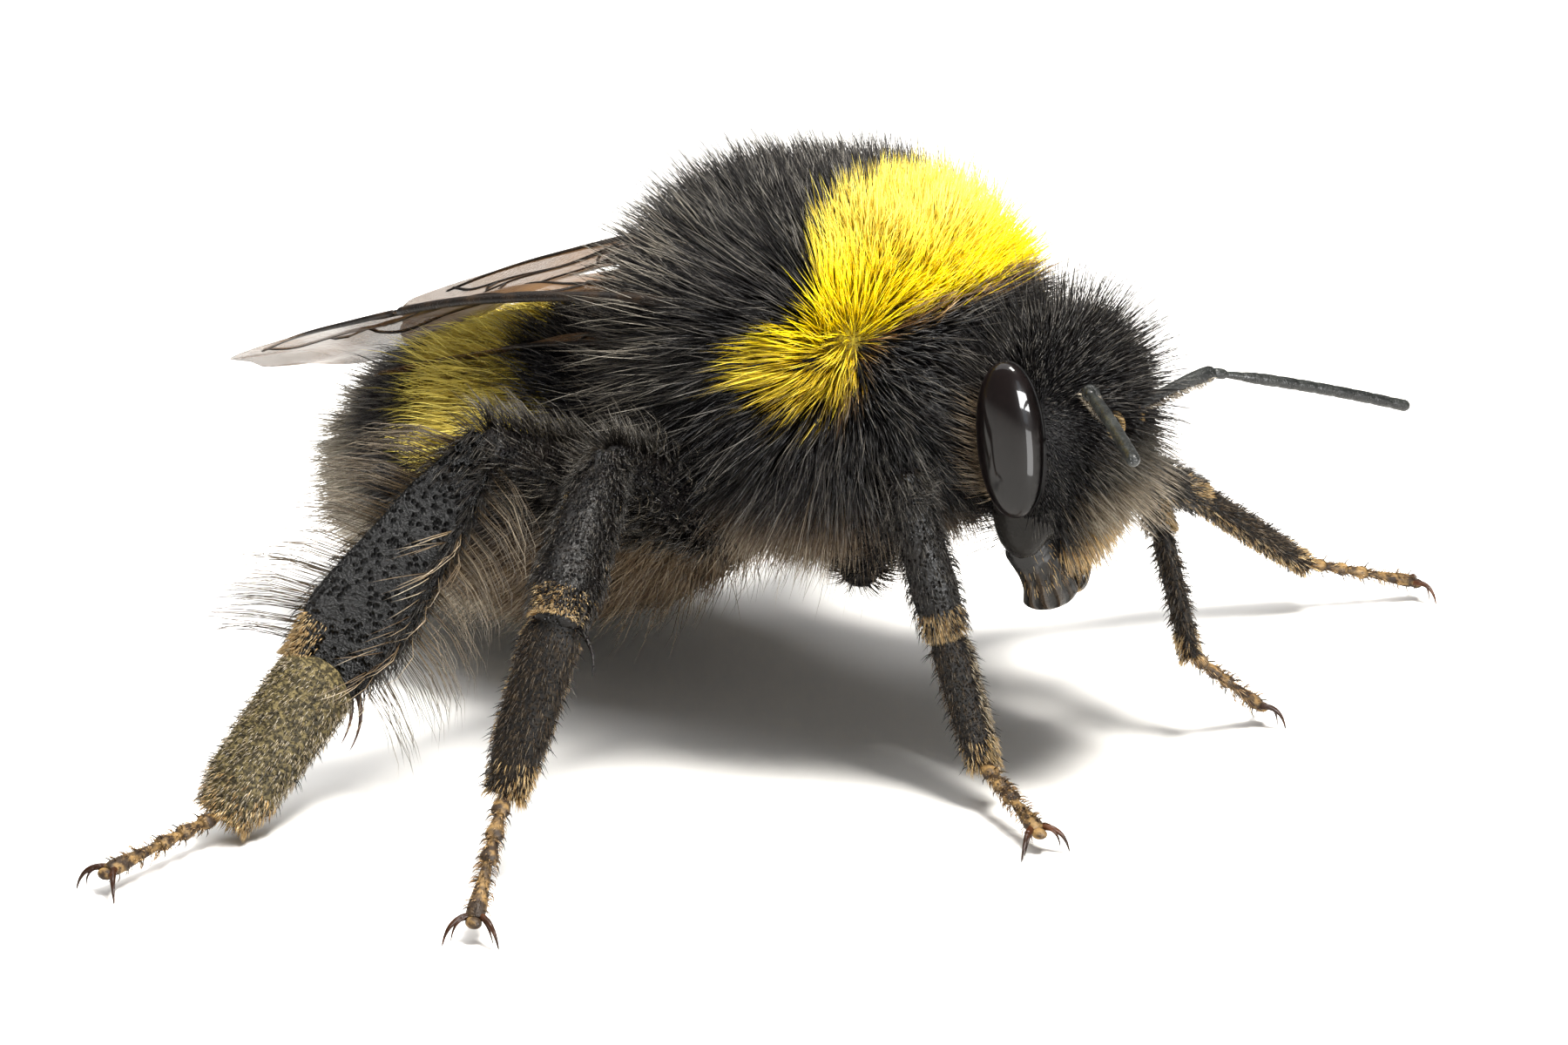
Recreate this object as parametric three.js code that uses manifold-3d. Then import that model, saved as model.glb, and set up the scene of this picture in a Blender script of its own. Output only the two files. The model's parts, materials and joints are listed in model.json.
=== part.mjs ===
// A bumblebee queen, life size, standing still with its wings folded over its back.
// Units are millimetres. +Z is up, +X is the way the bee faces and +Y is its left.
// The origin lies on the ground, under the middle of the bee's bounding box.
//
// Three ideas build the animal:
//   1. thorax, abdomen and head are egg-shaped forms, known by formula, so that any point
//      on them, and any point grown outwards from them, can be worked out;
//   2. the coat is rows of flat, tapered locks rooted in a slightly swollen core;
//   3. a leg is a chain of tapered segments, given by lengths and compass bearings.
// Neighbouring parts meet face to face and keep a small gap.

import * as THREE from "three";
import { mergeVertices } from "three/addons/utils/BufferGeometryUtils.js";
import Module from "manifold-3d";

const wasm = await Module();
wasm.setup();

// ---------------------------------------------------------------- driving dimensions

const GAP = 0.3; // air between two parts that meet
const WELD = 1e-4; // vertices nearer than this are one
const FINEST_EDGE = 0.03; // shorter edges are closed up after a join
const COARSE_EDGE = 0.09; // the same on a node of many small forms, such as locks of hair
const BODY_DETAIL = 4; // fineness of the thorax and abdomen balls
const HEAD_DETAIL = 3; // and of the smaller balls of the head

// Body forms: middle, half-axes of the bare skin, narrowing towards the rear, tilt and turn
// in degrees, how far the core stands above the skin, and how long the coat is. A form's
// boxiness is 2 for a round egg; more than 2 fills out its corners.
const THORAX = {
  middle: [0, 0, 6.95],
  skin: [3.1, 3.2, 2.95],
  boxiness: 2.5,
  core: 0.4,
  coat: 1.15,
  longer: 0.25, // the coat is longer by this on the upper rear
};
const ABDOMEN = {
  middle: [-6.35, 0, 3.88],
  skin: [4.6, 3.75, 2.75],
  narrowing: 0.06,
  tilt: 12.5,
  core: 0.3,
  coat: 0.75,
  longer: 0.3, // and here on the tail
};
const HEAD = {
  middle: [4.69, 0.21, 6.4],
  skin: [1.3, 2.1, 1.95],
  turn: 7,
  core: 0.15,
  coat: 0.8,
  face: 0.48, // the coat of the face below the crown
};

// Places on the head are measured from its middle, along its own front, left and up.
const MUZZLE = { middle: [0.05, 0, -1.0], skin: [1.0, 1.1, 1.0], coat: 0.42 };
const EYE = { middle: [-0.1, 1.95, 0.35], skin: [0.6, 0.38, 1.38] };
const MANDIBLE = {
  hinge: [-0.2, 0.95, -1.6],
  tip: [0.1, 0.36, -3.15],
  bulge: 0.25, // its middle stands out by this, forwards and sideways
  width: [1.05, 0.65],
  depth: [0.5, 0.4],
};
const SOCKET = [1.1, 0.5, 0.4];
// Feelers: the tips are places in the bee's frame, the lift is how far each joint arches up.
const SCAPE = { radius: 0.25, lift: 0.15, tips: { left: [6.31, 2.67, 7.14], right: [6.3, -1.66, 7.87] } };
const FLAGELLUM = { radius: 0.26, lift: 0.1, tips: { left: [8.57, 6.04, 6.06], right: [9.03, -4.85, 8.03] } };

// The coat: how many spots a whole ball would have, and the size of a lock.
const SEED = 20;
const LOCK_TAPER = 0.55; // the power by which a lock narrows to its tip
const LOCK_BEND = 0.4; // it goes straight up over this share of its height, then leans over
const FLATTEST_LEAN = 0.24; // a lock stands over the skin by at least this share of its length
const VARIES = { place: 0.12, width: 0.12, height: 0.08 }; // how unlike its neighbours a lock is
const THORAX_LOCKS = { count: 108, width: 1.45, depth: 0.56, sunk: 0.35 };
const ABDOMEN_LOCKS = { count: 108, width: 1.6, depth: 0.52, sunk: 0.3 };
const HEAD_LOCKS = { count: 46, width: 0.95, depth: 0.46, sunk: 0.25 };
const MUZZLE_LOCKS = { count: 22, width: 0.7, depth: 0.4, sunk: 0.25 };
// The fringe of a hind shin: where it starts and ends, and the way that its locks lean,
// sideways, down the shin and outwards, as shares of their length.
const FRINGE = {
  perEdge: 6,
  span: [0.2, 0.95],
  length: 1.25,
  width: 0.5,
  depth: 0.34,
  sunk: 0.3,
  lean: [0.75, 0.45, 0.35],
};

// Legs: the length of each segment, its half-width and its thickness against its width.
// The segments are femur, tibia, basitarsus and tarsus.
const LEG_LENGTHS = {
  front: [3.05, 2.8, 2.5, 2.05],
  middle: [3.8, 3.55, 3.1, 2.6],
  hind: [4.3, 4.8, 3.1, 2.6],
};
// Half-width along each segment, as pairs of [share of the length, half-width].
const LEG_WIDTHS = {
  front: [
    [[0, 0.5], [0.2, 0.42], [0.5, 0.5], [0.95, 0.36]],
    [[0, 0.3], [0.25, 0.38], [0.75, 0.44], [1, 0.36]],
    [[0, 0.28], [0.15, 0.38], [0.7, 0.33], [1, 0.27]],
  ],
  middle: [
    [[0, 0.55], [0.2, 0.45], [0.5, 0.55], [0.95, 0.4]],
    [[0, 0.34], [0.25, 0.46], [0.8, 0.55], [1, 0.42]],
    [[0, 0.34], [0.12, 0.52], [0.7, 0.48], [1, 0.34]],
  ],
  hind: [
    [[0, 0.6], [0.2, 0.48], [0.5, 0.62], [0.95, 0.45]],
    [[0, 0.4], [0.3, 0.68], [0.8, 0.98], [1, 0.8]],
    [[0, 0.5], [0.08, 0.78], [0.8, 0.7], [1, 0.5]],
  ],
};
const LEG_FLATNESS = [0.9, 0.62, 0.6];
const LEG_SIDES = 8;
const LEG_FACING = [0.57, 0.73, 0.38]; // the flat sides face forwards, outwards and a little up
const COXA = { length: 1.6, half: 0.55 };
const TOE = { height: 0.4, joints: 4, base: 0.25, end: 0.31, neck: 0.12, flatness: 0.95, sides: 6 };
// A claw starts inside the last toe joint, arches over its knuckle and is cut off flat.
const CLAW = { spread: 0.48, reach: 0.24, knuckle: 0.8, arch: 0.44, inside: 0.25, radius: 0.17, sunk: 0.08 };
// Where each leg leaves the thorax, and the bearing and rise of each segment in degrees.
// A bearing of 0 is straight ahead and 90 is to the bee's left. The foot's rise follows
// from the height that it has left to the ground.
const LEGS = [
  {
    name: "front_right",
    kind: "front",
    hip: [1.45, -1.3, 3.6],
    way: [[-33, 49], [26, -75], [-4, -69], [-29]],
  },
  {
    name: "front_left",
    kind: "front",
    hip: [2.0, 1.7, 4.5],
    way: [[47, 32], [-32, -46], [6.7, -73.5], [62]],
  },
  {
    name: "middle_right",
    kind: "middle",
    hip: [-1.05, -2.3, 4.15],
    way: [[-89, 34], [-67, -29], [-113, -70], [-63]],
  },
  {
    name: "middle_left",
    kind: "middle",
    hip: [-0.1, 1.9, 3.45],
    way: [[58, 17], [62, -29], [55, -35], [51]],
  },
  {
    name: "hind_right",
    kind: "hind",
    hip: [-2.5, -2.1, 4.0],
    way: [[-108, 29], [-114, -49], [-96, -39], [-92]],
  },
  {
    name: "hind_left",
    kind: "hind",
    hip: [-2.5, 2.1, 4.0],
    way: [[106, 27], [112, -47], [99, -40], [90]],
  },
];

// Wings: the front edge runs through these points of the right side, and y is mirrored on the
// left. Chord and droop are pairs of [share of the edge, width] and [share, degrees]. The
// stations along and across make the grid, and veins follow some of them.
const WING_THICK = 0.5;
const VEIN_RISE = 0.12;
const FOREWING = {
  edge: [
    [1.2, -2.75, 7.75],
    [-0.6, -3.3, 8.5],
    [-5.4, -3.5, 7.95],
    [-9.6, -3.3, 6.65],
    [-13.0, -2.75, 5.35],
  ],
  chord: [[0, 0.6], [0.12, 1.5], [0.3, 2.6], [0.5, 3.15], [0.72, 3.25], [0.86, 2.8], [0.95, 1.7], [1, 0.5]],
  droop: [[0, 0], [0.5, 4], [0.72, 12], [1, 24]],
  along: [0, 0.08, 0.2, 0.33, 0.4, 0.43, 0.46, 0.56, 0.62, 0.65, 0.68, 0.78, 0.88, 0.95, 1],
  across: [0, 0.07, 0.15, 0.3, 0.37, 0.44, 0.58, 0.65, 0.72, 0.86, 0.92, 1],
  veins: [
    { at: 0.07, until: 0.9 },
    { at: 0.37, until: 0.8 },
    { at: 0.65, until: 0.8 },
    { at: 0.92, until: 0.6 },
  ],
  crossVeins: [{ at: 0.43, from: 0.07, to: 0.65 }, { at: 0.65, from: 0.07, to: 0.65 }],
};
const HINDWING = {
  edge: [
    [0.4, -2.5, 6.9],
    [-1.2, -2.8, 7.5],
    [-4.4, -2.8, 7.1],
    [-7.0, -2.7, 6.4],
    [-9.4, -2.4, 5.55],
  ],
  chord: [[0, 0.5], [0.15, 1.1], [0.4, 1.9], [0.7, 2.0], [0.9, 1.3], [1, 0.4]],
  droop: [[0, 0], [0.5, 4], [1, 16]],
  along: [0, 0.12, 0.28, 0.44, 0.5, 0.56, 0.72, 0.88, 1],
  across: [0, 0.1, 0.22, 0.5, 0.6, 0.7, 1],
  veins: [{ at: 0.1, until: 0.8 }, { at: 0.6, until: 0.75 }],
  crossVeins: [{ at: 0.5, from: 0.1, to: 0.6 }],
};

// ---------------------------------------------------------------- small helpers

const vec = (place) => new THREE.Vector3(...place);
const mix = (a, b, share) => a + (b - a) * share;
const UP = new THREE.Vector3(0, 0, 1);

// A unit vector from a compass bearing and a rise, both in degrees.
function heading(bearing, rise) {
  const b = THREE.MathUtils.degToRad(bearing);
  const r = THREE.MathUtils.degToRad(rise);
  return new THREE.Vector3(Math.cos(r) * Math.cos(b), Math.cos(r) * Math.sin(b), Math.sin(r));
}

// Reads a value from pairs of [position, value], with straight lines between them.
function along(pairs, position) {
  let [before] = pairs;
  for (const pair of pairs) {
    if (position <= pair[0]) {
      const span = pair[0] - before[0];
      return span ? mix(before[1], pair[1], (position - before[0]) / span) : pair[1];
    }
    before = pair;
  }
  return before[1];
}

// A closed three.js geometry as a solid that can be joined and cut.
function toSolid(geometry) {
  const bare = new THREE.BufferGeometry();
  bare.setAttribute("position", geometry.getAttribute("position"));
  bare.setIndex(geometry.getIndex());
  const merged = mergeVertices(bare, WELD);
  return new wasm.Manifold(
    new wasm.Mesh({
      numProp: 3,
      vertProperties: merged.getAttribute("position").array,
      triVerts: new Uint32Array(merged.getIndex().array),
    }),
  );
}

// A solid back as a three.js geometry, after dropping every surface but the largest.
function toGeometry(solid, finest) {
  const pieces = solid.simplify(finest).decompose();
  pieces.sort((a, b) => b.volume() - a.volume());
  const mesh = pieces[0].getMesh();
  const geometry = new THREE.BufferGeometry();
  geometry.setAttribute("position", new THREE.BufferAttribute(new Float32Array(mesh.vertProperties), 3));
  geometry.setIndex(new THREE.BufferAttribute(new Uint32Array(mesh.triVerts), 1));
  return geometry;
}

const joined = (solids) => solids.reduce((all, next) => all.add(next));

// ---------------------------------------------------------------- body forms

// An egg: a ball stretched to three half-axes, narrower towards its rear, then tilted,
// turned and put in its place.
class Form {
  constructor({ middle, skin, boxiness = 2, narrowing = 0, tilt = 0, turn = 0 }) {
    this.middle = vec(middle);
    this.skin = vec(skin);
    this.boxiness = boxiness;
    this.narrowing = narrowing;
    const euler = new THREE.Euler(0, THREE.MathUtils.degToRad(-tilt), THREE.MathUtils.degToRad(turn), "ZYX");
    this.turn = new THREE.Quaternion().setFromEuler(euler);
    this.back = this.turn.clone().invert();
  }

  // How far out a ball direction is: 1 on the surface of the boxy ball.
  reach(ball) {
    const power = this.boxiness;
    const sum = Math.abs(ball.x) ** power + Math.abs(ball.y) ** power + Math.abs(ball.z) ** power;
    return sum ** (1 / power);
  }

  // The point of the form, grown outwards, that a direction of the ball goes to.
  at(direction, grow = 0) {
    const ball = direction.clone().divideScalar(this.reach(direction));
    const width = 1 + this.narrowing * ball.x;
    const point = new THREE.Vector3(
      ball.x * (this.skin.x + grow),
      ball.y * (this.skin.y + grow) * width,
      ball.z * (this.skin.z + grow) * width,
    );
    return point.applyQuaternion(this.turn).add(this.middle);
  }

  // The outward direction at that point.
  normal(direction, grow = 0) {
    const ball = direction.clone().divideScalar(this.reach(direction));
    const width = 1 + this.narrowing * ball.x;
    const slope = (value) => Math.sign(value) * Math.abs(value) ** (this.boxiness - 1);
    const out = new THREE.Vector3(
      slope(ball.x) / (this.skin.x + grow),
      slope(ball.y) / (this.skin.y + grow) / width,
      slope(ball.z) / (this.skin.z + grow) / width,
    );
    return out.applyQuaternion(this.turn).normalize();
  }

  // The ball place of a place in the world: its reach is under 1 inside the grown form.
  toBall(place, grow) {
    const local = place.clone().sub(this.middle).applyQuaternion(this.back);
    local.x /= this.skin.x + grow;
    const width = 1 + this.narrowing * local.x;
    local.y /= (this.skin.y + grow) * width;
    local.z /= (this.skin.z + grow) * width;
    return local;
  }

  holds(place, grow) {
    return this.reach(this.toBall(place, grow)) < 1;
  }

  // A place moved out to the grown form's surface if it lies inside.
  pushedOut(place, grow) {
    return this.holds(place, grow) ? this.at(this.toBall(place, grow), grow) : place;
  }

  solid(grow, detail) {
    const ball = new THREE.IcosahedronGeometry(1, detail);
    const position = ball.getAttribute("position");
    for (let i = 0; i < position.count; i += 1) {
      const point = this.at(new THREE.Vector3().fromBufferAttribute(position, i).normalize(), grow);
      position.setXYZ(i, point.x, point.y, point.z);
    }
    return toSolid(ball);
  }
}

const thoraxForm = new Form(THORAX);
const abdomenForm = new Form(ABDOMEN);
const skullForm = new Form(HEAD);

// A place on the head, given along the head's own front, left and up.
const onHead = (place) => vec(place).applyQuaternion(skullForm.turn).add(skullForm.middle);
const mirrored = (place, side) => [place[0], place[1] * side, place[2]];
const SIDES = { left: 1, right: -1 };

const muzzleForm = new Form({ ...MUZZLE, middle: onHead(MUZZLE.middle).toArray(), turn: HEAD.turn });

// ---------------------------------------------------------------- bent and turned pieces

// A bar that follows a curve: a cylinder or cone whose rings are set square to the curve.
// `across` is the direction of its width; width and depth are functions of the share of
// the curve's length.
function bentBar({ curve, across, width, depth, sides = 4, steps = 3, pointed = false }) {
  const bar = pointed
    ? new THREE.ConeGeometry(1, 1, sides, steps)
    : new THREE.CylinderGeometry(1, 1, 1, sides, steps);
  const position = bar.getAttribute("position");
  for (let i = 0; i < position.count; i += 1) {
    const share = THREE.MathUtils.clamp(position.getY(i) + 0.5, 0, 1);
    const ring = new THREE.Vector2(position.getX(i), position.getZ(i));
    if (ring.length() > WELD) ring.normalize();
    const tangent = curve.getTangent(share);
    const through = new THREE.Vector3().crossVectors(across, tangent).normalize();
    const square = new THREE.Vector3().crossVectors(tangent, through);
    const point = curve
      .getPoint(share)
      .addScaledVector(square, (ring.x * width(share)) / 2)
      .addScaledVector(through, (ring.y * depth(share)) / 2);
    position.setXYZ(i, point.x, point.y, point.z);
  }
  return toSolid(bar);
}

// A tapered, rounded rod from one joint to the next, flattened to a share of its width.
// Its flat side faces `out`. Grown, it is the room that its neighbours leave free.
function rod({ from, to, widths, flatness, out, sides = LEG_SIDES, grow = 0 }) {
  const axis = to.clone().sub(from);
  const length = axis.length();
  axis.normalize();
  const first = widths[0][1] * 0.5 + grow;
  const last = widths[widths.length - 1][1] * 0.5 + grow;
  const profile = widths.map(([share, half]) => new THREE.Vector2(half + grow, share * length));
  profile.unshift(new THREE.Vector2(0, -first));
  profile.push(new THREE.Vector2(0, widths[widths.length - 1][0] * length + last));
  const lathe = new THREE.LatheGeometry(profile, sides);
  const across = new THREE.Vector3().crossVectors(axis, out).normalize();
  const through = new THREE.Vector3().crossVectors(across, axis).normalize();
  lathe.applyMatrix4(new THREE.Matrix4().makeScale(1, 1, flatness));
  lathe.applyMatrix4(new THREE.Matrix4().makeBasis(across, axis, through));
  lathe.translate(from.x, from.y, from.z);
  return toSolid(lathe);
}

// ---------------------------------------------------------------- the coat

// Repeatable random numbers from 0 to 1.
function randomFrom(seed) {
  let state = seed;
  return () => {
    state = (state * 1664525 + 1013904223) % 4294967296;
    return state / 4294967296;
  };
}

// A flat blade along a curve that tapers to a point.
function blade(curve, across, width, depth) {
  const taper = (share) => (1 - share) ** LOCK_TAPER;
  return bentBar({
    curve,
    across,
    width: (share) => width * taper(share),
    depth: (share) => depth * taper(share),
    pointed: true,
  });
}

// One lock: a flat blade that leaves the skin square, bends over and tapers to a point.
function lock({ root, normal, tip, width, depth, sunk }) {
  const foot = root.clone().addScaledVector(normal, -sunk);
  const height = tip.clone().sub(root).dot(normal);
  const bend = root.clone().addScaledVector(normal, LOCK_BEND * height);
  const lean = tip.clone().sub(foot);
  const across = new THREE.Vector3().crossVectors(lean, normal);
  if (across.length() < 0.05) across.crossVectors(lean, UP);
  across.normalize();
  return blade(new THREE.QuadraticBezierCurve3(foot, bend, tip), across, width, depth);
}

// Locks all over a form. The spots lie on a spiral around the body's length, evenly spread.
// `lie` gives the way that the hair sweeps at a normal, `coat` how high its tips stand over
// the skin, `grows` where there is hair, and `clear` the forms that the tips keep off.
function coatOf({ form, core, locks, coat, lie, grows, clear, seed }) {
  const random = randomFrom(seed);
  const vary = (share) => 1 + share * (2 * random() - 1);
  const goldenTurn = Math.PI * (3 - Math.sqrt(5));
  const made = [];
  for (let i = 0; i < locks.count; i += 1) {
    const x = 1 - (2 * i + 1) / locks.count;
    const ring = Math.sqrt(1 - x * x);
    const angle = i * goldenTurn + VARIES.place * random();
    const unit = new THREE.Vector3(x, ring * Math.cos(angle), ring * Math.sin(angle));
    const width = locks.width * vary(VARIES.width);
    const normal = form.normal(unit, core);
    const root = form.at(unit, core);
    const blocked = clear.some(([other, grow]) => other.holds(root, grow));
    if (blocked || !grows(unit, root)) continue;
    const aim = normal.clone().add(lie(normal, root)).normalize();
    const height = coat(unit) * vary(VARIES.height) - core;
    const length = height / Math.max(aim.dot(normal), FLATTEST_LEAN);
    let tip = root.clone().addScaledVector(aim, length);
    for (const [other, grow] of clear) tip = other.pushedOut(tip, grow + locks.depth / 4);
    made.push(lock({ root, normal, tip, width, depth: locks.depth, sunk: locks.sunk }));
  }
  return joined(made);
}

// ---------------------------------------------------------------- wings

// A wing is a slab on a grid of stations along and across it. Raised stations are veins.
// Both faces are split into triangles alike.
function wing(plan, side, grow = 0) {
  const edge = new THREE.CatmullRomCurve3(plan.edge.map((place) => vec(mirrored(place, -side))));
  const rows = plan.along.length;
  const columns = plan.across.length;
  const near = (a, b) => Math.abs(a - b) < WELD;
  const isVein = (u, v) =>
    plan.veins.some((vein) => near(vein.at, v) && u <= vein.until) ||
    plan.crossVeins.some((vein) => near(vein.at, u) && v >= vein.from && v <= vein.to);

  const place = (row, column, face) => {
    const u = plan.along[row];
    const v = plan.across[column];
    const tangent = edge.getTangentAt(u);
    const inward = new THREE.Vector3().crossVectors(tangent, UP).multiplyScalar(-side).normalize();
    const droop = THREE.MathUtils.degToRad(along(plan.droop, u));
    const chordWay = inward.clone().multiplyScalar(Math.cos(droop)).addScaledVector(UP, -Math.sin(droop));
    const out = new THREE.Vector3().crossVectors(tangent, chordWay).multiplyScalar(side).normalize();
    const chord = along(plan.chord, u);
    const rise = !grow && isVein(u, v) ? VEIN_RISE : 0;
    return edge
      .getPointAt(u)
      .addScaledVector(chordWay, v * chord + (v * 2 - 1) * grow)
      .addScaledVector(tangent, (u * 2 - 1) * grow)
      .addScaledVector(out, face * (WING_THICK / 2 + grow) + (face > 0 ? rise : 0));
  };

  const positions = [];
  for (const face of [-1, 1]) {
    for (let row = 0; row < rows; row += 1) {
      for (let column = 0; column < columns; column += 1) {
        positions.push(...place(row, column, face).toArray());
      }
    }
  }
  const below = (row, column) => row * columns + column;
  const above = (row, column) => rows * columns + below(row, column);
  const triangles = [];
  const quad = (a, b, c, d) => triangles.push(a, b, c, a, c, d);
  const wall = (a, b) => quad(below(...a), above(...a), above(...b), below(...b));
  const [lastRow, lastColumn] = [rows - 1, columns - 1];
  for (let row = 0; row < lastRow; row += 1) {
    for (let column = 0; column < lastColumn; column += 1) {
      const corners = [[row, column], [row, column + 1], [row + 1, column + 1], [row + 1, column]];
      const [a, b, c, d] = corners.map((corner) => below(...corner));
      triangles.push(a, c, b, a, d, c);
      quad(...corners.map((corner) => above(...corner)));
    }
    wall([row, 0], [row + 1, 0]);
    wall([row + 1, lastColumn], [row, lastColumn]);
  }
  for (let column = 0; column < lastColumn; column += 1) {
    wall([0, column + 1], [0, column]);
    wall([lastRow, column], [lastRow, column + 1]);
  }
  if (side > 0) triangles.reverse();
  const slab = new THREE.BufferGeometry();
  slab.setAttribute("position", new THREE.Float32BufferAttribute(positions, 3));
  slab.setIndex(triangles);
  return toSolid(slab);
}

// ---------------------------------------------------------------- legs

// The joints of a leg, from the hip to the end of the foot.
function legJoints({ kind, hip, way }) {
  const joints = [vec(hip)];
  LEG_LENGTHS[kind].forEach((length, index) => {
    const from = joints[index];
    const [bearing, given] = way[index];
    const toGround = THREE.MathUtils.radToDeg(Math.asin((TOE.height - from.z) / length));
    const rise = given ?? toGround;
    joints.push(from.clone().addScaledVector(heading(bearing, rise), length));
  });
  return joints;
}

const legFacing = (leg) => vec(mirrored(LEG_FACING, Math.sign(leg.hip[1])));

function legRod(leg, index, grow = 0) {
  return rod({
    from: leg.joints[index],
    to: leg.joints[index + 1],
    widths: LEG_WIDTHS[leg.kind][index],
    flatness: LEG_FLATNESS[index],
    out: legFacing(leg),
    grow,
  });
}

// The curved fringe along both edges of a shin, which holds the pollen basket.
function fringe(leg, index) {
  const [from, to] = [leg.joints[index], leg.joints[index + 1]];
  const axis = to.clone().sub(from).normalize();
  const across = new THREE.Vector3().crossVectors(axis, legFacing(leg)).normalize();
  const through = new THREE.Vector3().crossVectors(across, axis).normalize();
  const [sideways, down, outwards] = FRINGE.lean.map((share) => share * FRINGE.length);
  const made = [];
  for (const hand of [-1, 1]) {
    for (let i = 0; i < FRINGE.perEdge; i += 1) {
      const share = mix(...FRINGE.span, i / (FRINGE.perEdge - 1));
      const half = hand * along(LEG_WIDTHS[leg.kind][index], share);
      const edge = from.clone().lerp(to, share).addScaledVector(across, half);
      const root = edge.clone().addScaledVector(across, -hand * FRINGE.sunk);
      const bend = edge.clone().addScaledVector(across, hand * FRINGE.sunk);
      const tip = edge
        .clone()
        .addScaledVector(across, hand * sideways)
        .addScaledVector(axis, down)
        .addScaledVector(through, outwards);
      const curve = new THREE.QuadraticBezierCurve3(root, bend, tip);
      made.push(blade(curve, axis, FRINGE.width, FRINGE.depth));
    }
  }
  return joined(made);
}

// The short first joint of a leg, from the hip up into the thorax.
function coxa(leg, grow = 0) {
  const from = leg.joints[0];
  const inward = thoraxForm.middle.clone().sub(from).normalize();
  return rod({
    from,
    to: from.clone().addScaledVector(inward, COXA.length),
    widths: [[0, COXA.half], [1, COXA.half]],
    flatness: 1,
    out: UP.clone().cross(inward),
    grow,
  });
}

// The last four toe joints, like beads, and two claws that hook down to the ground.
function foot({ joints }) {
  const [from, to] = joints.slice(3);
  const widths = [];
  for (let joint = 0; joint < TOE.joints; joint += 1) {
    widths.push([(joint + TOE.neck) / TOE.joints, TOE.base]);
    widths.push([(joint + 1 - TOE.neck) / TOE.joints, TOE.end]);
  }
  const toes = rod({ from, to, widths, flatness: TOE.flatness, out: UP, sides: TOE.sides });
  const ahead = to.clone().sub(from).setZ(0).normalize();
  const sideways = new THREE.Vector3().crossVectors(UP, ahead);
  const reaching = (share, hand, height) =>
    to
      .clone()
      .addScaledVector(ahead, share * CLAW.reach)
      .addScaledVector(sideways, share * hand * CLAW.spread)
      .setZ(height);
  const claws = [1, -1].map((hand) => {
    const start = to.clone().addScaledVector(ahead, -CLAW.inside);
    const knuckle = reaching(CLAW.knuckle, hand, CLAW.arch);
    const tip = reaching(1, hand, -CLAW.sunk);
    const thickness = (share) => mix(2 * CLAW.radius, CLAW.radius, share);
    return bentBar({
      curve: new THREE.QuadraticBezierCurve3(start, knuckle, tip),
      across: sideways,
      width: thickness,
      depth: thickness,
      sides: 5,
    });
  });
  const underground = new THREE.BoxGeometry(6, 6, 2).translate(to.x, to.y, -1);
  return joined([toes, ...claws]).subtract(toSolid(underground));
}

// ---------------------------------------------------------------- head pieces

function eye(side, grow = 0) {
  const form = new Form({ ...EYE, middle: onHead(mirrored(EYE.middle, side)).toArray(), turn: HEAD.turn });
  return form.solid(grow, HEAD_DETAIL);
}

function mandible(side, grow = 0) {
  const hinge = onHead(mirrored(MANDIBLE.hinge, side));
  const tip = onHead(mirrored(MANDIBLE.tip, side));
  const middle = hinge.clone().lerp(tip, 0.5).add(vec([MANDIBLE.bulge, side * MANDIBLE.bulge, 0]));
  return bentBar({
    curve: new THREE.QuadraticBezierCurve3(hinge, middle, tip),
    across: vec([-side, 1, 0]).normalize(),
    width: (share) => mix(...MANDIBLE.width, share) + 2 * grow,
    depth: (share) => mix(...MANDIBLE.depth, share) + 2 * grow,
    sides: 8,
    steps: 4,
  });
}

function feeler(from, to, { lift, radius }, grow = 0) {
  const middle = from.clone().lerp(to, 0.5).addScaledVector(UP, lift);
  return bentBar({
    curve: new THREE.QuadraticBezierCurve3(from, middle, to),
    across: to.clone().sub(from).cross(UP).normalize(),
    width: () => 2 * (radius + grow),
    depth: () => 2 * (radius + grow),
    sides: 8,
    steps: 4,
  });
}

// ---------------------------------------------------------------- materials

const finish = (color, roughness, metalness = 0) => ({ color, roughness, metalness });
const FINISHES = {
  coat: finish(0x1b1814, 0.8),
  tail: finish(0x2a2620, 0.8),
  eye: finish(0x0b0a0a, 0.12),
  jaw: finish(0x15110e, 0.35),
  feeler: finish(0x141314, 0.45),
  wing: finish(0x8a7a60, 0.35),
  leg: finish(0x1a1613, 0.5),
  toes: finish(0x6e4824, 0.6),
};

// ---------------------------------------------------------------- assembly

const bee = new THREE.Group();
bee.name = "bumblebee";

function addNode(name, solid, look, finest = FINEST_EDGE) {
  const material = new THREE.MeshStandardMaterial(FINISHES[look]);
  const mesh = new THREE.Mesh(toGeometry(solid, finest), material);
  mesh.name = name;
  bee.add(mesh);
}

const sides = Object.entries(SIDES);
const legs = LEGS.map((leg) => ({ ...leg, joints: legJoints(leg) }));
for (const leg of legs) leg.rooms = [0, 1, 2].map((index) => legRod(leg, index, GAP));

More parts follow.
